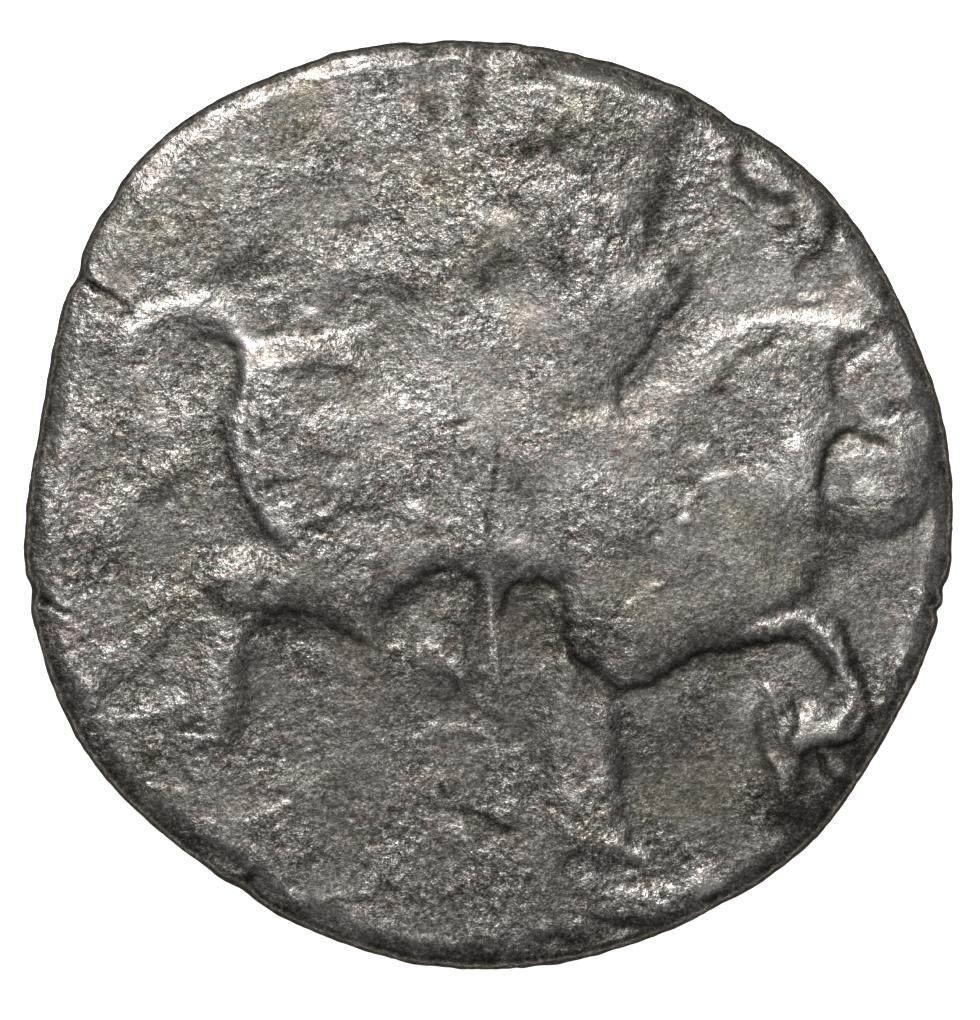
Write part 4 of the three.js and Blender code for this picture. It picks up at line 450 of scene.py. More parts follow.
  { "name": "low_shade_3", "rise": -0.006, "tone": 1.04, "at": [7.05, -7.44], "size": [0.36, 0.31], "turn": 0 },
  { "name": "low_swell_9", "rise": 0.006, "tone": -0.45, "at": [-8.88, -7.41], "size": [0.36, 0.31], "turn": 0 },
  { "name": "left_swell_8", "rise": 0.006, "tone": -0.94, "at": [-8.44, 2.41], "size": [0.41, 0.52], "turn": 0 },
  { "name": "left_swell_9", "rise": 0.008, "tone": -0.5, "at": [-10.79, 4.01], "size": [0.26, 0.57], "turn": 0 },
  { "name": "low_shade_4", "rise": -0.009, "tone": 1.1, "at": [-8.78, -6.51], "size": [0.26, 0.26], "turn": 0 },
  { "name": "hoof_shade_3", "rise": -0.007, "tone": 1.71, "at": [8.47, -6.61], "size": [0.31, 0.26], "turn": 0 },
  { "name": "field_shade_4", "rise": -0.006, "tone": 0.95, "at": [-2.69, -4.32], "size": [0.52, 0.31], "turn": 0 },
  { "name": "field_shade_5", "rise": -0.006, "tone": 0.65, "at": [0.86, -5.71], "size": [0.52, 0.31], "turn": 0 },
  { "name": "belly_swell", "rise": 0.006, "tone": -1.0, "at": [-1.46, -3.34], "size": [0.41, 0.36], "turn": 0 },
  { "name": "belly_shade_4", "rise": -0.026, "tone": 0.71, "at": [-2.69, -1.77], "size": [0.36, 0.31], "turn": 0 },
  { "name": "jaw_swell", "rise": 0.006, "tone": -1.61, "at": [8.85, 0.17], "size": [0.26, 0.36], "turn": 0 },
  { "name": "legend_swell_5", "rise": 0.006, "tone": -0.15, "at": [7.95, 8.31], "size": [0.31, 0.21], "turn": 0 },
  { "name": "field_swell_3", "rise": 0.006, "tone": -1.43, "at": [2.33, 10.2], "size": [0.52, 0.21], "turn": 0 },
  { "name": "field_swell_4", "rise": 0.006, "tone": -1.62, "at": [2.49, 7.31], "size": [0.26, 0.21], "turn": 0 },
  { "name": "field_swell_5", "rise": 0.006, "tone": -0.6, "at": [9.45, 6.17], "size": [0.31, 0.26], "turn": 0 },
  { "name": "face_swell", "rise": 0.006, "tone": -1.31, "at": [8.65, 4.19], "size": [0.26, 0.26], "turn": 0 },
  { "name": "throat_shade", "rise": -0.006, "tone": 0.96, "at": [9.32, -1.22], "size": [0.31, 0.31], "turn": 0 },
]
CRACKS = [
  { "name": "crack_west_upper", "bearing": 150.6, "half": 1.5, "notch": 0.22, "depth": 0.42, "width": 0.28, "line": [
    [-10.89, 6.25], [-10.53, 5.94], [-10.17, 5.61], [-9.76, 5.37], [-9.34, 5.12], [-9.09, 4.7]] },
  { "name": "crack_west_lower", "bearing": 190.4, "half": 1.6, "notch": 0.22, "depth": 0.4, "width": 0.31, "line": [
    [-12.08, -1.95], [-11.66, -2.31], [-11.25, -2.62], [-10.79, -2.87], [-10.22, -3.05]] },
  { "name": "fold_south_west", "bearing": 237.2, "half": 2.2, "notch": 0.14, "depth": 0.5, "width": 0.41, "line": [
    [-6.51, -10.09], [-6.25, -9.73], [-5.84, -9.47]] },
  { "name": "chip_east", "bearing": 349.6, "half": 0.9, "notch": 0.13, "depth": 0.35, "width": 0.21, "line": [
    [12.21, -2.2], [11.79, -2.36], [11.54, -2.51]] },
  { "name": "chip_east_low", "bearing": 346.6, "half": 0.7, "notch": 0.09, "depth": 0.25, "width": 0.18, "line": [
    [11.95, -2.77], [11.64, -2.8], [11.43, -2.82]] },
]
# Where corrosion has roughened the upper face more (or, with a minus, less) than elsewhere: x, y, spread, strength.
EATEN = [
    (1.8, 8.9, 3.4, 2.6, 0.50), (-3.5, 8.4, 3.0, 2.0, 0.15), (-9.6, 1.5, 2.4, 4.6, 0.25), (-8.6, -4.6, 2.4, 2.6, 0.30),
    (2.6, -9.6, 4.0, 1.8, 0.45), (-4.6, 0.6, 2.2, 1.9, 0.42), (8.6, -6.6, 1.6, 2.0, 0.10), (5.0, 9.0, 1.6, 1.8, 0.25),
    (6.2, -1.2, 2.9, 2.9, -0.50), (7.6, 6.0, 2.4, 1.8, -0.40), (5.6, -6.4, 2.0, 2.2, -0.40), (2.6, 2.2, 2.4, 2.2, -0.20),
    (10.2, 0.6, 1.2, 2.6, -0.45), (9.9, 3.4, 1.2, 1.2, -0.25), (-2.2, -5.4, 3.6, 1.8, -0.25), (10.0, -3.0, 1.0, 2.0, -0.25),
    (-7.4, 7.6, 2.0, 2.0, -0.10),
]



# ---- helpers ----
def smoothstep(t):
    t = np.clip(t, 0.0, 1.0)
    return t * t * (3 - 2 * t)


def bump(u):
    return np.where(np.abs(u) < 1, (1 - u * u) ** 2, 0.0)


def smooth_line(points, closed, per_span):
    """A Catmull-Rom line through the points, as a polyline."""
    p = np.asarray(points, float)
    if closed:
        p = np.vstack([p[-1], p, p[0], p[1]])
    else:
        p = np.vstack([2 * p[0] - p[1], p, 2 * p[-1] - p[-2]])
    t = (np.arange(per_span) / per_span)[:, None]
    spans = []
    for a, b, c, d in zip(p[:-3], p[1:-2], p[2:-1], p[3:]):
        spans.append(0.5 * (2 * b + (c - a) * t + (2 * a - 5 * b + 4 * c - d) * t**2 + (3 * b - a - 3 * c + d) * t**3))
    line = np.vstack(spans)
    return np.vstack([line, line[0] if closed else p[-2]])


def block(line, pad):
    """The part of the grid within pad of the line's box, as two slices."""
    lo = ((line.min(0) - pad) / STEP + SIDE / 2).astype(int)
    hi = ((line.max(0) + pad) / STEP + SIDE / 2).astype(int) + 2
    lo, hi = np.clip(lo, 0, SIDE), np.clip(hi, 0, SIDE)
    return slice(lo[1], hi[1]), slice(lo[0], hi[0])


def distance(line, x, y):
    """Distance of each point to the polyline, and how far along it the nearest place is, 0 to 1."""
    best = np.full(x.shape, 1e9)
    along = np.zeros(x.shape)
    length = np.concatenate([[0], np.cumsum(np.hypot(*np.diff(line, axis=0).T))])
    for i in range(len(line) - 1):
        (ax, ay), (bx, by) = line[i], line[i + 1]
        dx, dy = bx - ax, by - ay
        t = np.clip(((x - ax) * dx + (y - ay) * dy) / (dx * dx + dy * dy + 1e-12), 0, 1)
        d = (x - ax - t * dx) ** 2 + (y - ay - t * dy) ** 2
        near = d < best
        best = np.where(near, d, best)
        along = np.where(near, length[i] + t * (length[i + 1] - length[i]), along)
    return np.sqrt(best), along / length[-1]


def within(line, x, y):
    inside = np.zeros(x.shape, bool)
    for (ax, ay), (bx, by) in zip(line[:-1], line[1:]):
        if ay == by:
            continue
        inside ^= ((ay > y) != (by > y)) & (x < (bx - ax) * (y - ay) / (by - ay) + ax)
    return inside


AXIS = (np.arange(SIDE) - SIDE / 2) * STEP
X, Y = np.meshgrid(AXIS, AXIS)
BEARING = np.arctan2(Y, X)
RADIUS = np.hypot(X, Y)
FREQ = np.fft.fftfreq(SIDE, STEP)
FX, FY = np.meshgrid(FREQ[: SIDE // 2 + 1], FREQ)
FX = np.abs(FX)
FR = np.hypot(FX, FY)


def blur(a, width):
    """Gaussian blur; width in mm."""
    return np.fft.irfft2(np.fft.rfft2(a) * np.exp(-2 * (math.pi * width * FR) ** 2), s=(SIDE, SIDE))


def noise(seed, long, short, tilt=0.0, stretch=1.0, slope=0.0):
    """Even random waves between two lengths in mm, with standard deviation 1. stretch draws them out along tilt
    (degrees); slope makes the long ones stronger."""
    white = np.random.RandomState(seed).standard_normal((SIDE, SIDE))
    c, s = math.cos(math.radians(tilt)), math.sin(math.radians(tilt))
    f = np.hypot((FX * c + FY * s) * stretch, (-FX * s + FY * c) / stretch)
    f = np.maximum(f, 1e-6)
    band = np.exp(-((f * short) ** 2) * 1.2) * (1 - np.exp(-((f * long) ** 2) * 1.2)) * f ** (-slope)
    out = np.fft.irfft2(np.fft.rfft2(white) * band, s=(SIDE, SIDE))
    return out / out.std()


def outline(bearing, nicks=True):
    r = np.full(np.shape(bearing), MEAN_RADIUS)
    for i, (c, s) in enumerate(HARMONICS, 1):
        r = r + c * np.cos(i * bearing) + s * np.sin(i * bearing)
    if nicks:
        for at, half, out in NICKS:
            off = np.angle(np.exp(1j * (bearing - math.radians(at))))
            r = r + out * np.exp(-((off / math.radians(half)) ** 2))
    return r


def notch(bearing):
    """How far the cracks' mouths cut into the outline."""
    cut = np.zeros(np.shape(bearing))
    for k in CRACKS:
        off = np.angle(np.exp(1j * (bearing - math.radians(k["bearing"]))))
        cut = cut + k["notch"] * np.exp(-((off / math.radians(k["half"])) ** 2))
    return cut


def unevenness(x, y):
    total = np.zeros(np.shape(x))
    for i in range(12):
        turn, wave = i * 2.39996, 7.5 * 0.84**i
        total = total + wave / 7.5 * np.sin(2 * math.pi * (x * math.cos(turn) + y * math.sin(turn)) / wave + 1.7 * i)
    return WEAR * total / 3


INSET = outline(BEARING) - EDGE_ROUND - RADIUS  # how far inside the upper face's border a point is


# ---- the relief ----
def soft(u):
    """A narrow core on a wide skirt: 1 in the middle, 0 beyond 2.2."""
    return 0.74 * bump(u) + 0.26 * bump(u / 2.2)


def tapered(row, x, y):
    """Distance to a ridge's or a groove's line as a share of its half width there, and how far along it is."""
    d, t = distance(smooth_line(row["line"], False, 6), x, y)
    return d / (row["from"] + (row["to"] - row["from"]) * t), t


def relief():
    """Height of the worn relief over the field, and how much darker the metal is painted there (below 0: brighter,
    partly bare worn metal and partly painted highlight; above 0: partly patina and partly painted shade), on the grid.
    """
    # Corrosion has frayed every outline a little: the relief is read at slightly shifted places.
    xs = X + 0.030 * noise(11, 1.6, 0.5) + 0.008 * noise(12, 0.5, 0.16)
    ys = Y + 0.030 * noise(13, 1.6, 0.5) + 0.008 * noise(14, 0.5, 0.16)
    raised, over, tone_and_painted_light = np.zeros(X.shape), np.zeros(X.shape), np.zeros(X.shape)
    for f in FORMS:
        line = smooth_line(f["line"], True, 6)
        b = block(line, f["edge"] + 0.2)
        d, _ = distance(line, xs[b], ys[b])
        d = np.where(within(line, xs[b], ys[b]), d, -d)
        raised[b] = np.maximum(raised[b], f["rise"] * smoothstep(d / f["edge"] + 0.4))
    for r in RIDGES:
        b = block(smooth_line(r["line"], False, 6), 3 * max(r["from"], r["to"]) + 0.2)
        u, t = tapered(r, xs[b], ys[b])
        h = soft(u) * np.minimum(1, np.minimum(t, 1 - t) * 8 + 0.4)
        over[b] += r["rise"] * h
        # ridges: brighter along them, partly bare metal and partly painted highlight
        tone_and_painted_light[b] -= r["tone"] * h
    for g in GROOVES:
        b = block(smooth_line(g["line"], False, 6), 3 * max(g["from"], g["to"]) + 0.2)
        u, t = tapered(g, xs[b], ys[b])
        h = soft(u) * np.minimum(1, np.minimum(t, 1 - t) * 8 + 0.2)
        over[b] -= g["depth"] * h
        # grooves: darker along them, partly patina and partly painted shade
        tone_and_painted_light[b] += g["tone"] * h
    for s in SPOTS:
        c, n = math.cos(math.radians(s["turn"])), math.sin(math.radians(s["turn"]))
        dx, dy = xs - s["at"][0], ys - s["at"][1]
        h = bump(np.hypot((dx * c + dy * n) / (1.5 * s["size"][0]), (-dx * n + dy * c) / (1.5 * s["size"][1])))
        over += s["rise"] * h
        # spots: darken with a tone above 0 and brighten below it; partly patina and bare metal, partly painted shade
        # and painted highlight
        tone_and_painted_light += s["tone"] * h
    return raised + over, tone_and_painted_light


def spot_mask(spots):
    """Soft sum of round patches: (x, y, rx, ry, strength)."""
    m = np.zeros(X.shape)
    for x, y, rx, ry, s in spots:
        m += s * np.exp(-(((X - x) / rx) ** 2 + ((Y - y) / ry) ** 2))
    return m


def upper_face():
    # The rounded border is broader at the bottom and runs unevenly.
    width = SHOULDER * (1 + 0.10 * np.cos(BEARING - 4.2) - 0.25 * np.exp(-((BEARING / 0.5) ** 2)) + 0.16 * noise(61, 4.0, 1.2))
    border = smoothstep(1 - INSET / width) ** 1.3
    faded = np.clip(INSET / (0.7 * SHOULDER), 0, 1)
    base = FIELD_Z + FIELD_CROWN * (1 - (RADIUS / MEAN_RADIUS) ** 2) - SHOULDER_DROP * border + unevenness(X, Y)
    shape, tone_and_painted_light = relief()
    # Darker towards the bottom, and a band of painted shade along the border, which gives way to a painted highlight
    # on the rounded lip at the top left and is weaker at the right.
    tone_and_painted_light = tone_and_painted_light + 0.34 * smoothstep((1 - Y) / 9) - 0.12
    painted_lip_highlight = np.exp(-((np.angle(np.exp(1j * (BEARING - 2.1))) / 0.55) ** 2))
    right_border_lighter = np.exp(-(((BEARING - 0.05) / 0.6) ** 2))
    tone_and_painted_light = tone_and_painted_light + (1.0 - 1.1 * painted_lip_highlight - 0.7 * right_border_lighter + 0.3 * noise(62, 2.5, 0.7)) * np.exp(-((np.maximum(INSET, 0) / 0.24) ** 2))
    shape = (0.25 + 0.75 * faded) * shape

    # Corrosion: rough where the metal has been eaten, finer where it is still smooth.
    eaten = 0.62 + spot_mask(EATEN)
    eaten = np.clip(eaten + 0.28 * noise(21, 5.0, 1.6), 0.12, 1.35)
    coarse = noise(22, 1.5, 0.32, slope=0.8)
    middle = noise(23, 0.6, 0.15, slope=0.5)
    fine = noise(24, 0.26, 0.085)
    rough = 0.007 * coarse * eaten + 0.0048 * middle * (0.35 + 0.75 * eaten) + 0.0042 * fine * (0.55 + 0.5 * eaten)
    # Pits: small sharp hollows, in drifts.
    drift = np.clip(eaten + 0.5 * noise(25, 2.4, 0.8) - 0.35, 0, 1.3)
    pits = np.maximum(noise(26, 0.5, 0.16) - 1.25, 0) * 0.020 * drift
    pits += np.maximum(noise(27, 0.22, 0.09) - 1.7, 0) * 0.016 * drift
    # Scabs left standing between the eaten places.
    scabs = np.maximum(noise(28, 0.9, 0.26) - 1.1, 0) * 0.014 * drift
    fade = 0.35 + 0.65 * faded
    z = base + shape + (rough + scabs) * fade - pits * fade

    for k in CRACKS:
        line = smooth_line(k["line"], False, 6)
        b = block(line, 1.6 * k["width"] + 0.2)
        jx, jy = X[b] + 0.030 * JAG_X[b], Y[b] + 0.030 * JAG_Y[b]
        d, t = distance(line, jx, jy)
        z[b] -= 0.75 * k["depth"] * (1 - t) ** 1.6 * bump(d / (0.5 * k["width"] * (1 - 0.6 * t)))
        # painted shade inside the crack, darkest at its mouth
        tone_and_painted_light[b] += 1.2 * (1 - 0.8 * t) * bump(d / (0.8 * k["width"]))
        # the bent lip on one side
        z[b] += 0.022 * (1 - 0.7 * t) * bump((d - 0.7 * k["width"]) / (0.6 * k["width"]))
    return z, shape, eaten, tone_and_painted_light


JAG_X, JAG_Y = noise(31, 0.8, 0.2), noise(32, 0.8, 0.2)


def under_face():
    """Height of the underside over the resting plane: a worn-flat patch, a slightly higher field, what is left of a
    dotted border and of a wreath, and a rounded rim."""
    patch = REST_RADIUS * (1 + 0.06 * np.cos(2 * BEARING + 0.6) + 0.04 * np.cos(5 * BEARING)) + 0.22 * noise(41, 3.0, 0.7)
    off = smoothstep((RADIUS - patch) / 1.3)
    z = UNDER_FIELD * off + (UNDER_RIM - UNDER_FIELD) * smoothstep(1 - INSET / UNDER_ROUND)
    kept = smoothstep(0.5 + 0.9 * np.cos(BEARING - 2.3))
    count, ring = 46, 10.2
    step = 2 * math.pi / count
    index = np.round(BEARING / step)
    wobble = 0.10 * np.sin(index * 2.9) + 0.05 * np.sin(index * 7.1)
    d = np.hypot((BEARING - index * step) * ring, RADIUS - ring - wobble)
    z -= 0.15 * kept * bump(d / 0.62)
    # leaves of a wreath: short slanted swellings in a ring, worn to traces
    leaves, at = 22, 9.0
    turn = 2 * math.pi / leaves
    i = np.round((BEARING - 0.07) / turn)
    a, b = (BEARING - 0.07 - i * turn) * at, RADIUS - at - 0.12 * np.sin(i * 2.1)
    c, s = math.cos(0.6), math.sin(0.6)
    z -= 0.10 * smoothstep(0.35 - 0.9 * np.cos(BEARING - 2.3) * -1) * off * bump(np.hypot((a * c + b * s) / 1.0, (-a * s + b * c) / 0.34))
    eaten = np.clip(0.55 + 0.3 * noise(42, 5.0, 1.5) + 0.35 * smoothstep((RADIUS - 8.5) / 3.0), 0.15, 1.2)
    rough = 0.020 * noise(43, 1.5, 0.32, slope=0.8) * eaten + 0.010 * noise(44, 0.6, 0.17, slope=0.5) * (0.35 + 0.75 * eaten)
    pits = np.maximum(noise(45, 0.7, 0.2) - 1.2, 0) * 0.035 + np.maximum(noise(46, 0.28, 0.11) - 1.6, 0) * 0.02
    z = z + rough * (0.12 + 0.88 * off) + pits * (0.4 + 0.6 * eaten)
    return np.maximum(z, 0.0), eaten


# ---- reading the grid ----
def read(grid, x, y):
    gx = np.clip(x / STEP + SIDE / 2, 0, SIDE - 2.001)
    gy = np.clip(y / STEP + SIDE / 2, 0, SIDE - 2.001)
    i, j = gy.astype(int), gx.astype(int)
    fy, fx = gy - i, gx - j
    top = grid[i, j] * (1 - fx) + grid[i, j + 1] * fx
    low = grid[i + 1, j] * (1 - fx) + grid[i + 1, j + 1] * fx
    return top * (1 - fy) + low * fy


# ---- the closed surface: rings from the middle of the upper face, over the edge, to the middle below ----
TOP_RINGS = 158
SIDE_RINGS = 7
UNDER_RINGS = 62

top_z, top_shape, top_eaten, top_tone_and_painted_light = upper_face()
low_z, low_eaten = under_face()


def hollowness(z):
    """How far a place lies below its surroundings, at three scales: 0 on the level, about 1 deep down."""
    small = (blur(z, 0.07) - z) / 0.012
    middle = (blur(z, 0.28) - blur(z, 0.06)) / 0.035
    large = (blur(z, 0.9) - blur(z, 0.2)) / 0.085
    return 0.15 * small + 0.25 * middle + 0.12 * large


def patched(z):
    """The face without the drop at its border, so that the border is not taken for a hollow."""
    inside = INSET > -0.1
    level = blur(np.where(inside, z, 0.0), 0.3) / np.maximum(blur(inside * 1.0, 0.3), 1e-3)
    return np.where(inside, z, level)


# How dark the upper face is painted: darker in its hollows, partly patina and partly painted shade, plus the darkening
# and painted light of the relief, the cracks and the border.
top_depth = hollowness(patched(top_z)) + top_tone_and_painted_light
low_depth = -hollowness(low_z)

points, marks, rings = [], [], []


def add_ring(bearings, x, y, z, mark):
    rings.append((np.asarray(bearings), sum(len(p) for p in points)))
    points.append(np.stack([x, y, z], 1))
    marks.append(np.stack([np.broadcast_to(m, x.shape) for m in mark], 1))


def turns(count):
    return np.arange(count) * (2 * math.pi / count)


for i in range(TOP_RINGS + 1):
    b = turns(max(1, 6 * i))
    share = i / TOP_RINGS
    r = share * (outline(b) - notch(b) * share**8 - EDGE_ROUND)
    x, y = r * np.cos(b), r * np.sin(b)
    add_ring(b, x, y, read(top_z, x, y), (read(top_depth, x, y), read(top_eaten, x, y), 0.0))

rim_b = turns(6 * TOP_RINGS)
rim_x, rim_y, rim_z = points[-1].T
foot_r = outline(rim_b) - notch(rim_b) * 0.3 - EDGE_ROUND
foot_z = read(low_z, foot_r * np.cos(rim_b), foot_r * np.sin(rim_b))
hammer = np.random.RandomState(51).standard_normal((3, len(rim_b)))
wave = np.fft.rfftfreq(len(rim_b), 1 / len(rim_b))
hammer = np.fft.irfft(np.fft.rfft(hammer) * np.exp(-((wave / 90) ** 2)) * (1 - np.exp(-((wave / 12) ** 2))), n=len(rim_b))
hammer /= hammer.std(axis=1, keepdims=True)
fray = np.random.RandomState(52).standard_normal((SIDE_RINGS + 2, len(rim_b)))
fray = np.fft.irfft(np.fft.rfft(fray) * np.exp(-((wave / 240) ** 2)), n=len(rim_b))
fray /= fray.std()
for k in range(1, SIDE_RINGS + 1):
    turn = math.pi * k / (SIDE_RINGS + 1)
    s, lens = (1 - math.cos(turn)) / 2, math.sin(turn) ** 0.85
    r = outline(rim_b) - notch(rim_b) * (1 - 0.7 * s) - EDGE_ROUND * (1 - lens)
    r = r + lens * (-0.02 + 0.006 * hammer[0] * (1 - s) + 0.012 * hammer[1] * s + 0.008 * hammer[2] * math.sin(9 * s) + 0.005 * fray[k])
    z = rim_z + (foot_z - rim_z) * s + 0.012 * lens * fray[(k + 3) % (SIDE_RINGS + 2)]
    # the side rings carry a middling darkness and an edge mark from 0.45 to 1, by which the metal paints shade on the
    # hammered edge
    add_ring(rim_b, r * np.cos(rim_b), r * np.sin(rim_b), z, (0.5 - 0.2 * fray[k], 0.9, (0.45, 0.85)[k - 1] if k < 3 else 1.0))
for i in range(UNDER_RINGS, -1, -1):
    b = turns(max(1, 6 * i))
    r = (i / UNDER_RINGS) * (outline(b) - notch(b) * 0.3 - EDGE_ROUND)
    x, y = r * np.cos(b), r * np.sin(b)
    add_ring(b, x, y, read(low_z, x, y), (read(low_depth, x, y), read(low_eaten, x, y), 0.0))

faces = []
for (A, a0), (B, b0) in zip(rings[:-1], rings[1:]):
    na, nb = len(A), len(B)
    ea, eb = np.append(A, 2 * math.pi), np.append(B, 2 * math.pi)
    i = j = 0
    while i < na or j < nb:
        if j < nb and (na == 1 or i >= na or eb[j + 1] <= ea[i + 1]):
            faces.append((a0 + i % na, b0 + j, b0 + (j + 1) % nb))
            j += 1
        elif na == 1:
            i += 1
        else:
            if nb > 1 or i < na:
                faces.append((a0 + i, b0 + j % nb, a0 + (i + 1) % na))
            i += 1
faces = np.array(faces)
keep = (faces[:, 0] != faces[:, 1]) & (faces[:, 1] != faces[:, 2]) & (faces[:, 0] != faces[:, 2])
faces = faces[keep]
points = np.vstack(points)
marks = np.vstack(marks)

mesh = bpy.data.meshes.new("coin_struck")
mesh.vertices.add(len(points))
mesh.vertices.foreach_set("co", (points / 1000).astype(np.float32).ravel())
mesh.loops.add(len(faces) * 3)
mesh.loops.foreach_set("vertex_index", faces.astype(np.int32).ravel())
mesh.polygons.add(len(faces))
mesh.polygons.foreach_set("loop_start", (np.arange(len(faces)) * 3).astype(np.int32))
mesh.polygons.foreach_set("use_smooth", np.ones(len(faces), bool))
mesh.update(calc_edges=True)
mesh.validate()
# depth: how dark the metal is painted, partly patina and partly painted shade and highlight; eaten: how corroded;
# edge: where the hammered edge is painted with shade
for n, name in enumerate(("depth", "eaten", "edge")):
    mesh.attributes.new(name, "FLOAT", "POINT").data.foreach_set("value", marks[:, n].astype(np.float32))
coin = bpy.data.objects.new("coin_struck", mesh)
bpy.context.scene.collection.objects.link(coin)
print("coin triangles", len(faces))


# ---- the metal ----
GRAIN_TONE = 0.92
GRAIN_HEIGHT = 0.86
ROUGHNESS = 0.38
metal = bpy.data.materials.new("old_silver")
metal.use_nodes = True
tree = metal.node_tree
tree.nodes.clear()


def node(kind, **values):
    n = tree.nodes.new(kind)
    for key, value in values.items():
        if key.startswith("in_"):
            n.inputs[int(key[3:]) if key[3:].isdigit() else key[3:].replace("_", " ")].default_value = value
        else:
            setattr(n, key, value)
    return n


def link(a, b):
    tree.links.new(a, b)


def attribute(name):
    return node("ShaderNodeAttribute", attribute_name=name).outputs["Fac"]


def maths(operation, a, b=None, c=None, clamp=False):
    n = node("ShaderNodeMath", operation=operation, use_clamp=clamp)
    for k, v in enumerate((a, b, c)):
        if v is None:
            continue
        if isinstance(v, (int, float)):
            n.inputs[k].default_value = v
        else:
            link(v, n.inputs[k])
    return n.outputs[0]


def ramp(value, lo, hi, to_lo=0.0, to_hi=1.0, kind="SMOOTHSTEP"):
    n = node("ShaderNodeMapRange", interpolation_type=kind)
    link(value, n.inputs["Value"])
    for key, v in (("From Min", lo), ("From Max", hi), ("To Min", to_lo), ("To Max", to_hi)):
        n.inputs[key].default_value = v
    return n.outputs[0]


def mix(factor, a, b, blend="MIX"):
    n = node("ShaderNodeMix", data_type="RGBA", blend_type=blend)
    for socket, v in ((n.inputs[0], factor), (n.inputs[6], a), (n.inputs[7], b)):
        if isinstance(v, (int, float)):
            socket.default_value = v
        elif isinstance(v, tuple):
            socket.default_value = (*v, 1.0)
        else:
            link(v, socket)
    return n.outputs[2]


place = node("ShaderNodeTexCoord").outputs["Object"]


def grain(scale, detail=2.0, rough=0.55, squash=(1, 1, 1), turn=0.0, shift=0.0):
    """Noise with features of about 1/scale mm."""
    m = node("ShaderNodeMapping")
    m.inputs["Scale"].default_value = tuple(1000 * scale * q for q in squash)
    m.inputs["Rotation"].default_value = (0, 0, math.radians(turn))
    m.inputs["Location"].default_value = (shift, shift * 0.7, shift * 0.3)
    link(place, m.inputs["Vector"])
    n = node("ShaderNodeTexNoise", in_Scale=1.0, in_Detail=detail, in_Roughness=rough)
    link(m.outputs[0], n.inputs["Vector"])
    return n.outputs["Fac"]


depth, eaten, edge = attribute("depth"), attribute("eaten"), attribute("edge")


def off(value, middle, strength):
    return maths("MULTIPLY", maths("SUBTRACT", value, middle), strength)


def total(*values):
    out = values[0]
    for v in values[1:]:
        out = maths("ADD", out, v)
    return out


coarse_grain = grain(5.0, 1.0, 0.5, shift=3.1)
fine_grain = grain(11.0, 1.0, 0.6, shift=8.2)
dust = grain(24.0, 0.0, 0.5, shift=17.0)
patch = grain(0.55, 3.0, 0.55, shift=5.7)
tint = grain(0.9, 3.0, 0.6, shift=13.3)
glint = grain(9.0, 1.0, 0.5, shift=27.7)
stain = grain(0.35, 4.0, 0.6, shift=21.9)

grain_gain = maths("ADD", maths("MULTIPLY", eaten, 0.50), 0.60)

# Darkening and painted light: dark in the hollows, partly patina and partly painted shade, bare metal on what stands
# proud and is worn, and the painted shade and painted highlight that the relief tables and the border bring in through
# depth. The metal's own colour is thinned or strengthened by the power of e below.
speck = total(off(coarse_grain, 0.5, 2.0), off(fine_grain, 0.5, 3.0), off(dust, 0.5, 1.7))
strength = total(maths("MULTIPLY", depth, -0.83), off(patch, 0.5, -0.6), maths("MULTIPLY", maths("MULTIPLY", speck, grain_gain), GRAIN_TONE))
strength = maths("MINIMUM", maths("MAXIMUM", strength, -1.9), 1.15)
power = maths("EXPONENT", strength)
warm = ramp(strength, -1.4, 0.9)
metal_colour = mix(warm, (0.154, 0.137, 0.110), (0.174, 0.165, 0.153))
# A pinkish cast in some drifts and glints, a greenish and an olive-brown film in others.
metal_colour = mix(maths("MULTIPLY", ramp(tint, 0.50, 0.70), 0.35), metal_colour, (0.190, 0.154, 0.134))
metal_colour = mix(maths("MULTIPLY", ramp(glint, 0.54, 0.70), 0.45), metal_colour, (0.212, 0.160, 0.136))
metal_colour = mix(maths("MULTIPLY", ramp(glint, 0.46, 0.32), 0.40), metal_colour, (0.140, 0.163, 0.160))
metal_colour = mix(maths("MULTIPLY", ramp(stain, 0.54, 0.72), 0.40), metal_colour, (0.152, 0.134, 0.088))
bright = node("ShaderNodeVectorMath", operation="SCALE")
link(metal_colour, bright.inputs[0])
link(power, bright.inputs["Scale"])
# painted shade on the hammered edge: its colour goes near black
colour = mix(maths("MULTIPLY", edge, 0.85), bright.outputs[0], (0.030, 0.025, 0.018))

roughness = maths("ADD", maths("MULTIPLY", ramp(strength, 0.9, -1.2), 0.14), ROUGHNESS)
roughness = maths("ADD", roughness, off(dust, 0.5, 0.15), clamp=True)

height = total(maths("MULTIPLY", coarse_grain, 0.026), maths("MULTIPLY", fine_grain, 0.022), maths("MULTIPLY", dust, 0.0065))
relief_bump = node("ShaderNodeBump", in_Strength=1.0, in_Distance=0.001)
link(maths("MULTIPLY", maths("MULTIPLY", height, grain_gain), GRAIN_HEIGHT), relief_bump.inputs["Height"])

shader = node("ShaderNodeBsdfPrincipled", in_Metallic=0.95)
link(colour, shader.inputs["Base Color"])
link(roughness, shader.inputs["Roughness"])
link(relief_bump.outputs[0], shader.inputs["Normal"])
# Painted shade on the hammered edge: a dark specular tint keeps it from shining where it is seen almost along the
# surface.
link(mix(edge, (1.0, 1.0, 1.0), (0.10, 0.085, 0.06)), shader.inputs["Specular Tint"])
output = node("ShaderNodeOutputMaterial")
link(shader.outputs[0], output.inputs["Surface"])
mesh.materials.append(metal)

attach(coin, "root")
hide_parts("coin")


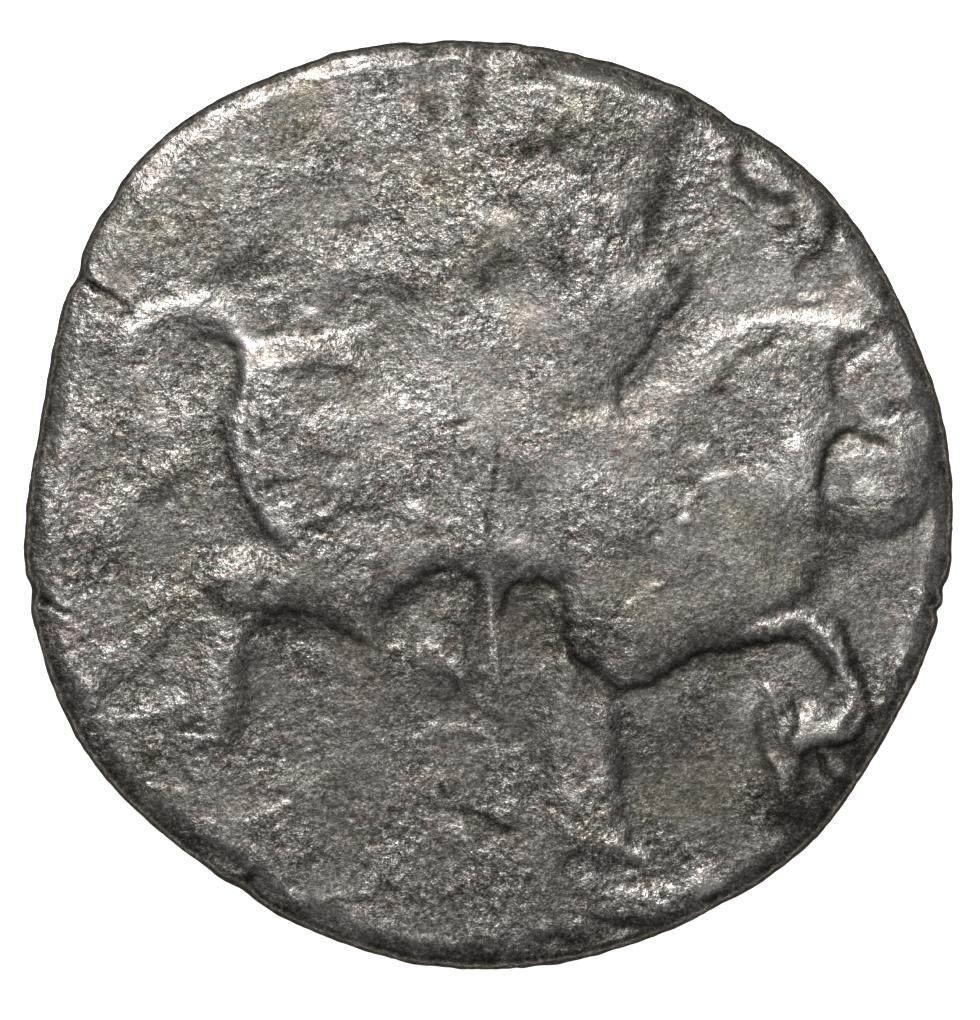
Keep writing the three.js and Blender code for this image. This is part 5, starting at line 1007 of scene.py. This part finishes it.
# ---- floor, light and camera ----
floor_mesh = bpy.data.meshes.new("floor")
floor_mesh.from_pydata([(-0.6, -0.6, 0), (0.6, -0.6, 0), (0.6, 0.6, 0), (-0.6, 0.6, 0)], [], [(0, 1, 2, 3)])
floor = bpy.data.objects.new("floor", floor_mesh)
bpy.context.scene.collection.objects.link(floor)
paper = bpy.data.materials.new("paper")
paper.use_nodes = True
paper.node_tree.nodes["Principled BSDF"].inputs["Base Color"].default_value = (0.93, 0.93, 0.93, 1)
paper.node_tree.nodes["Principled BSDF"].inputs["Roughness"].default_value = 0.9
paper.node_tree.nodes["Principled BSDF"].inputs["Specular IOR Level"].default_value = 0.1
paper.node_tree.nodes["Principled BSDF"].inputs["Emission Color"].default_value = (1, 1, 1, 1)
paper.node_tree.nodes["Principled BSDF"].inputs["Emission Strength"].default_value = 0.95
floor_mesh.materials.append(paper)


def lamp(name, place, power, size, size_y=None):
    data = bpy.data.lights.new(name, "AREA")
    data.energy, data.size = power, size
    data.shape = "RECTANGLE"
    data.size_y = size_y or size
    lit = bpy.data.objects.new(name, data)
    lit.location = place
    lit.rotation_euler = (Vector((0, 0, 0)) - Vector(place)).to_track_quat("-Z", "Y").to_euler()
    bpy.context.scene.collection.objects.link(lit)
    return lit


lamp("key", (-0.068, 0.235, 0.32), 1.40, 0.17, 0.17)
lamp("above", (0.0, 0.07, 0.5), 0.42, 0.35, 0.35)

world = bpy.data.worlds.new("studio")
bpy.context.scene.world = world
world.use_nodes = True
world.node_tree.nodes["Background"].inputs["Color"].default_value = (0.97, 0.98, 1.0, 1)
world.node_tree.nodes["Background"].inputs["Strength"].default_value = 0.2

bpy.context.scene.view_settings.view_transform = "Standard"

# The photograph's frame is 980 by 1020, and the coin is 931 of its pixels wide.
WIDTH, HEIGHT, PER_PIXEL = 980, 1020, 0.024 / 931
far = 0.60
top_plane = 0.0022
camera_data = bpy.data.cameras.new("camera")
camera_data.sensor_fit = "VERTICAL"
camera_data.sensor_height = 24.0
camera_data.lens = 24.0 * (far - top_plane) / (HEIGHT * PER_PIXEL)
camera_data.clip_start, camera_data.clip_end = 0.01, 10
camera = bpy.data.objects.new("camera", camera_data)
camera.location = ((WIDTH / 2 - 488.5) * PER_PIXEL, -(HEIGHT / 2 - 504.5) * PER_PIXEL, far)
bpy.context.scene.collection.objects.link(camera)
bpy.context.scene.camera = camera
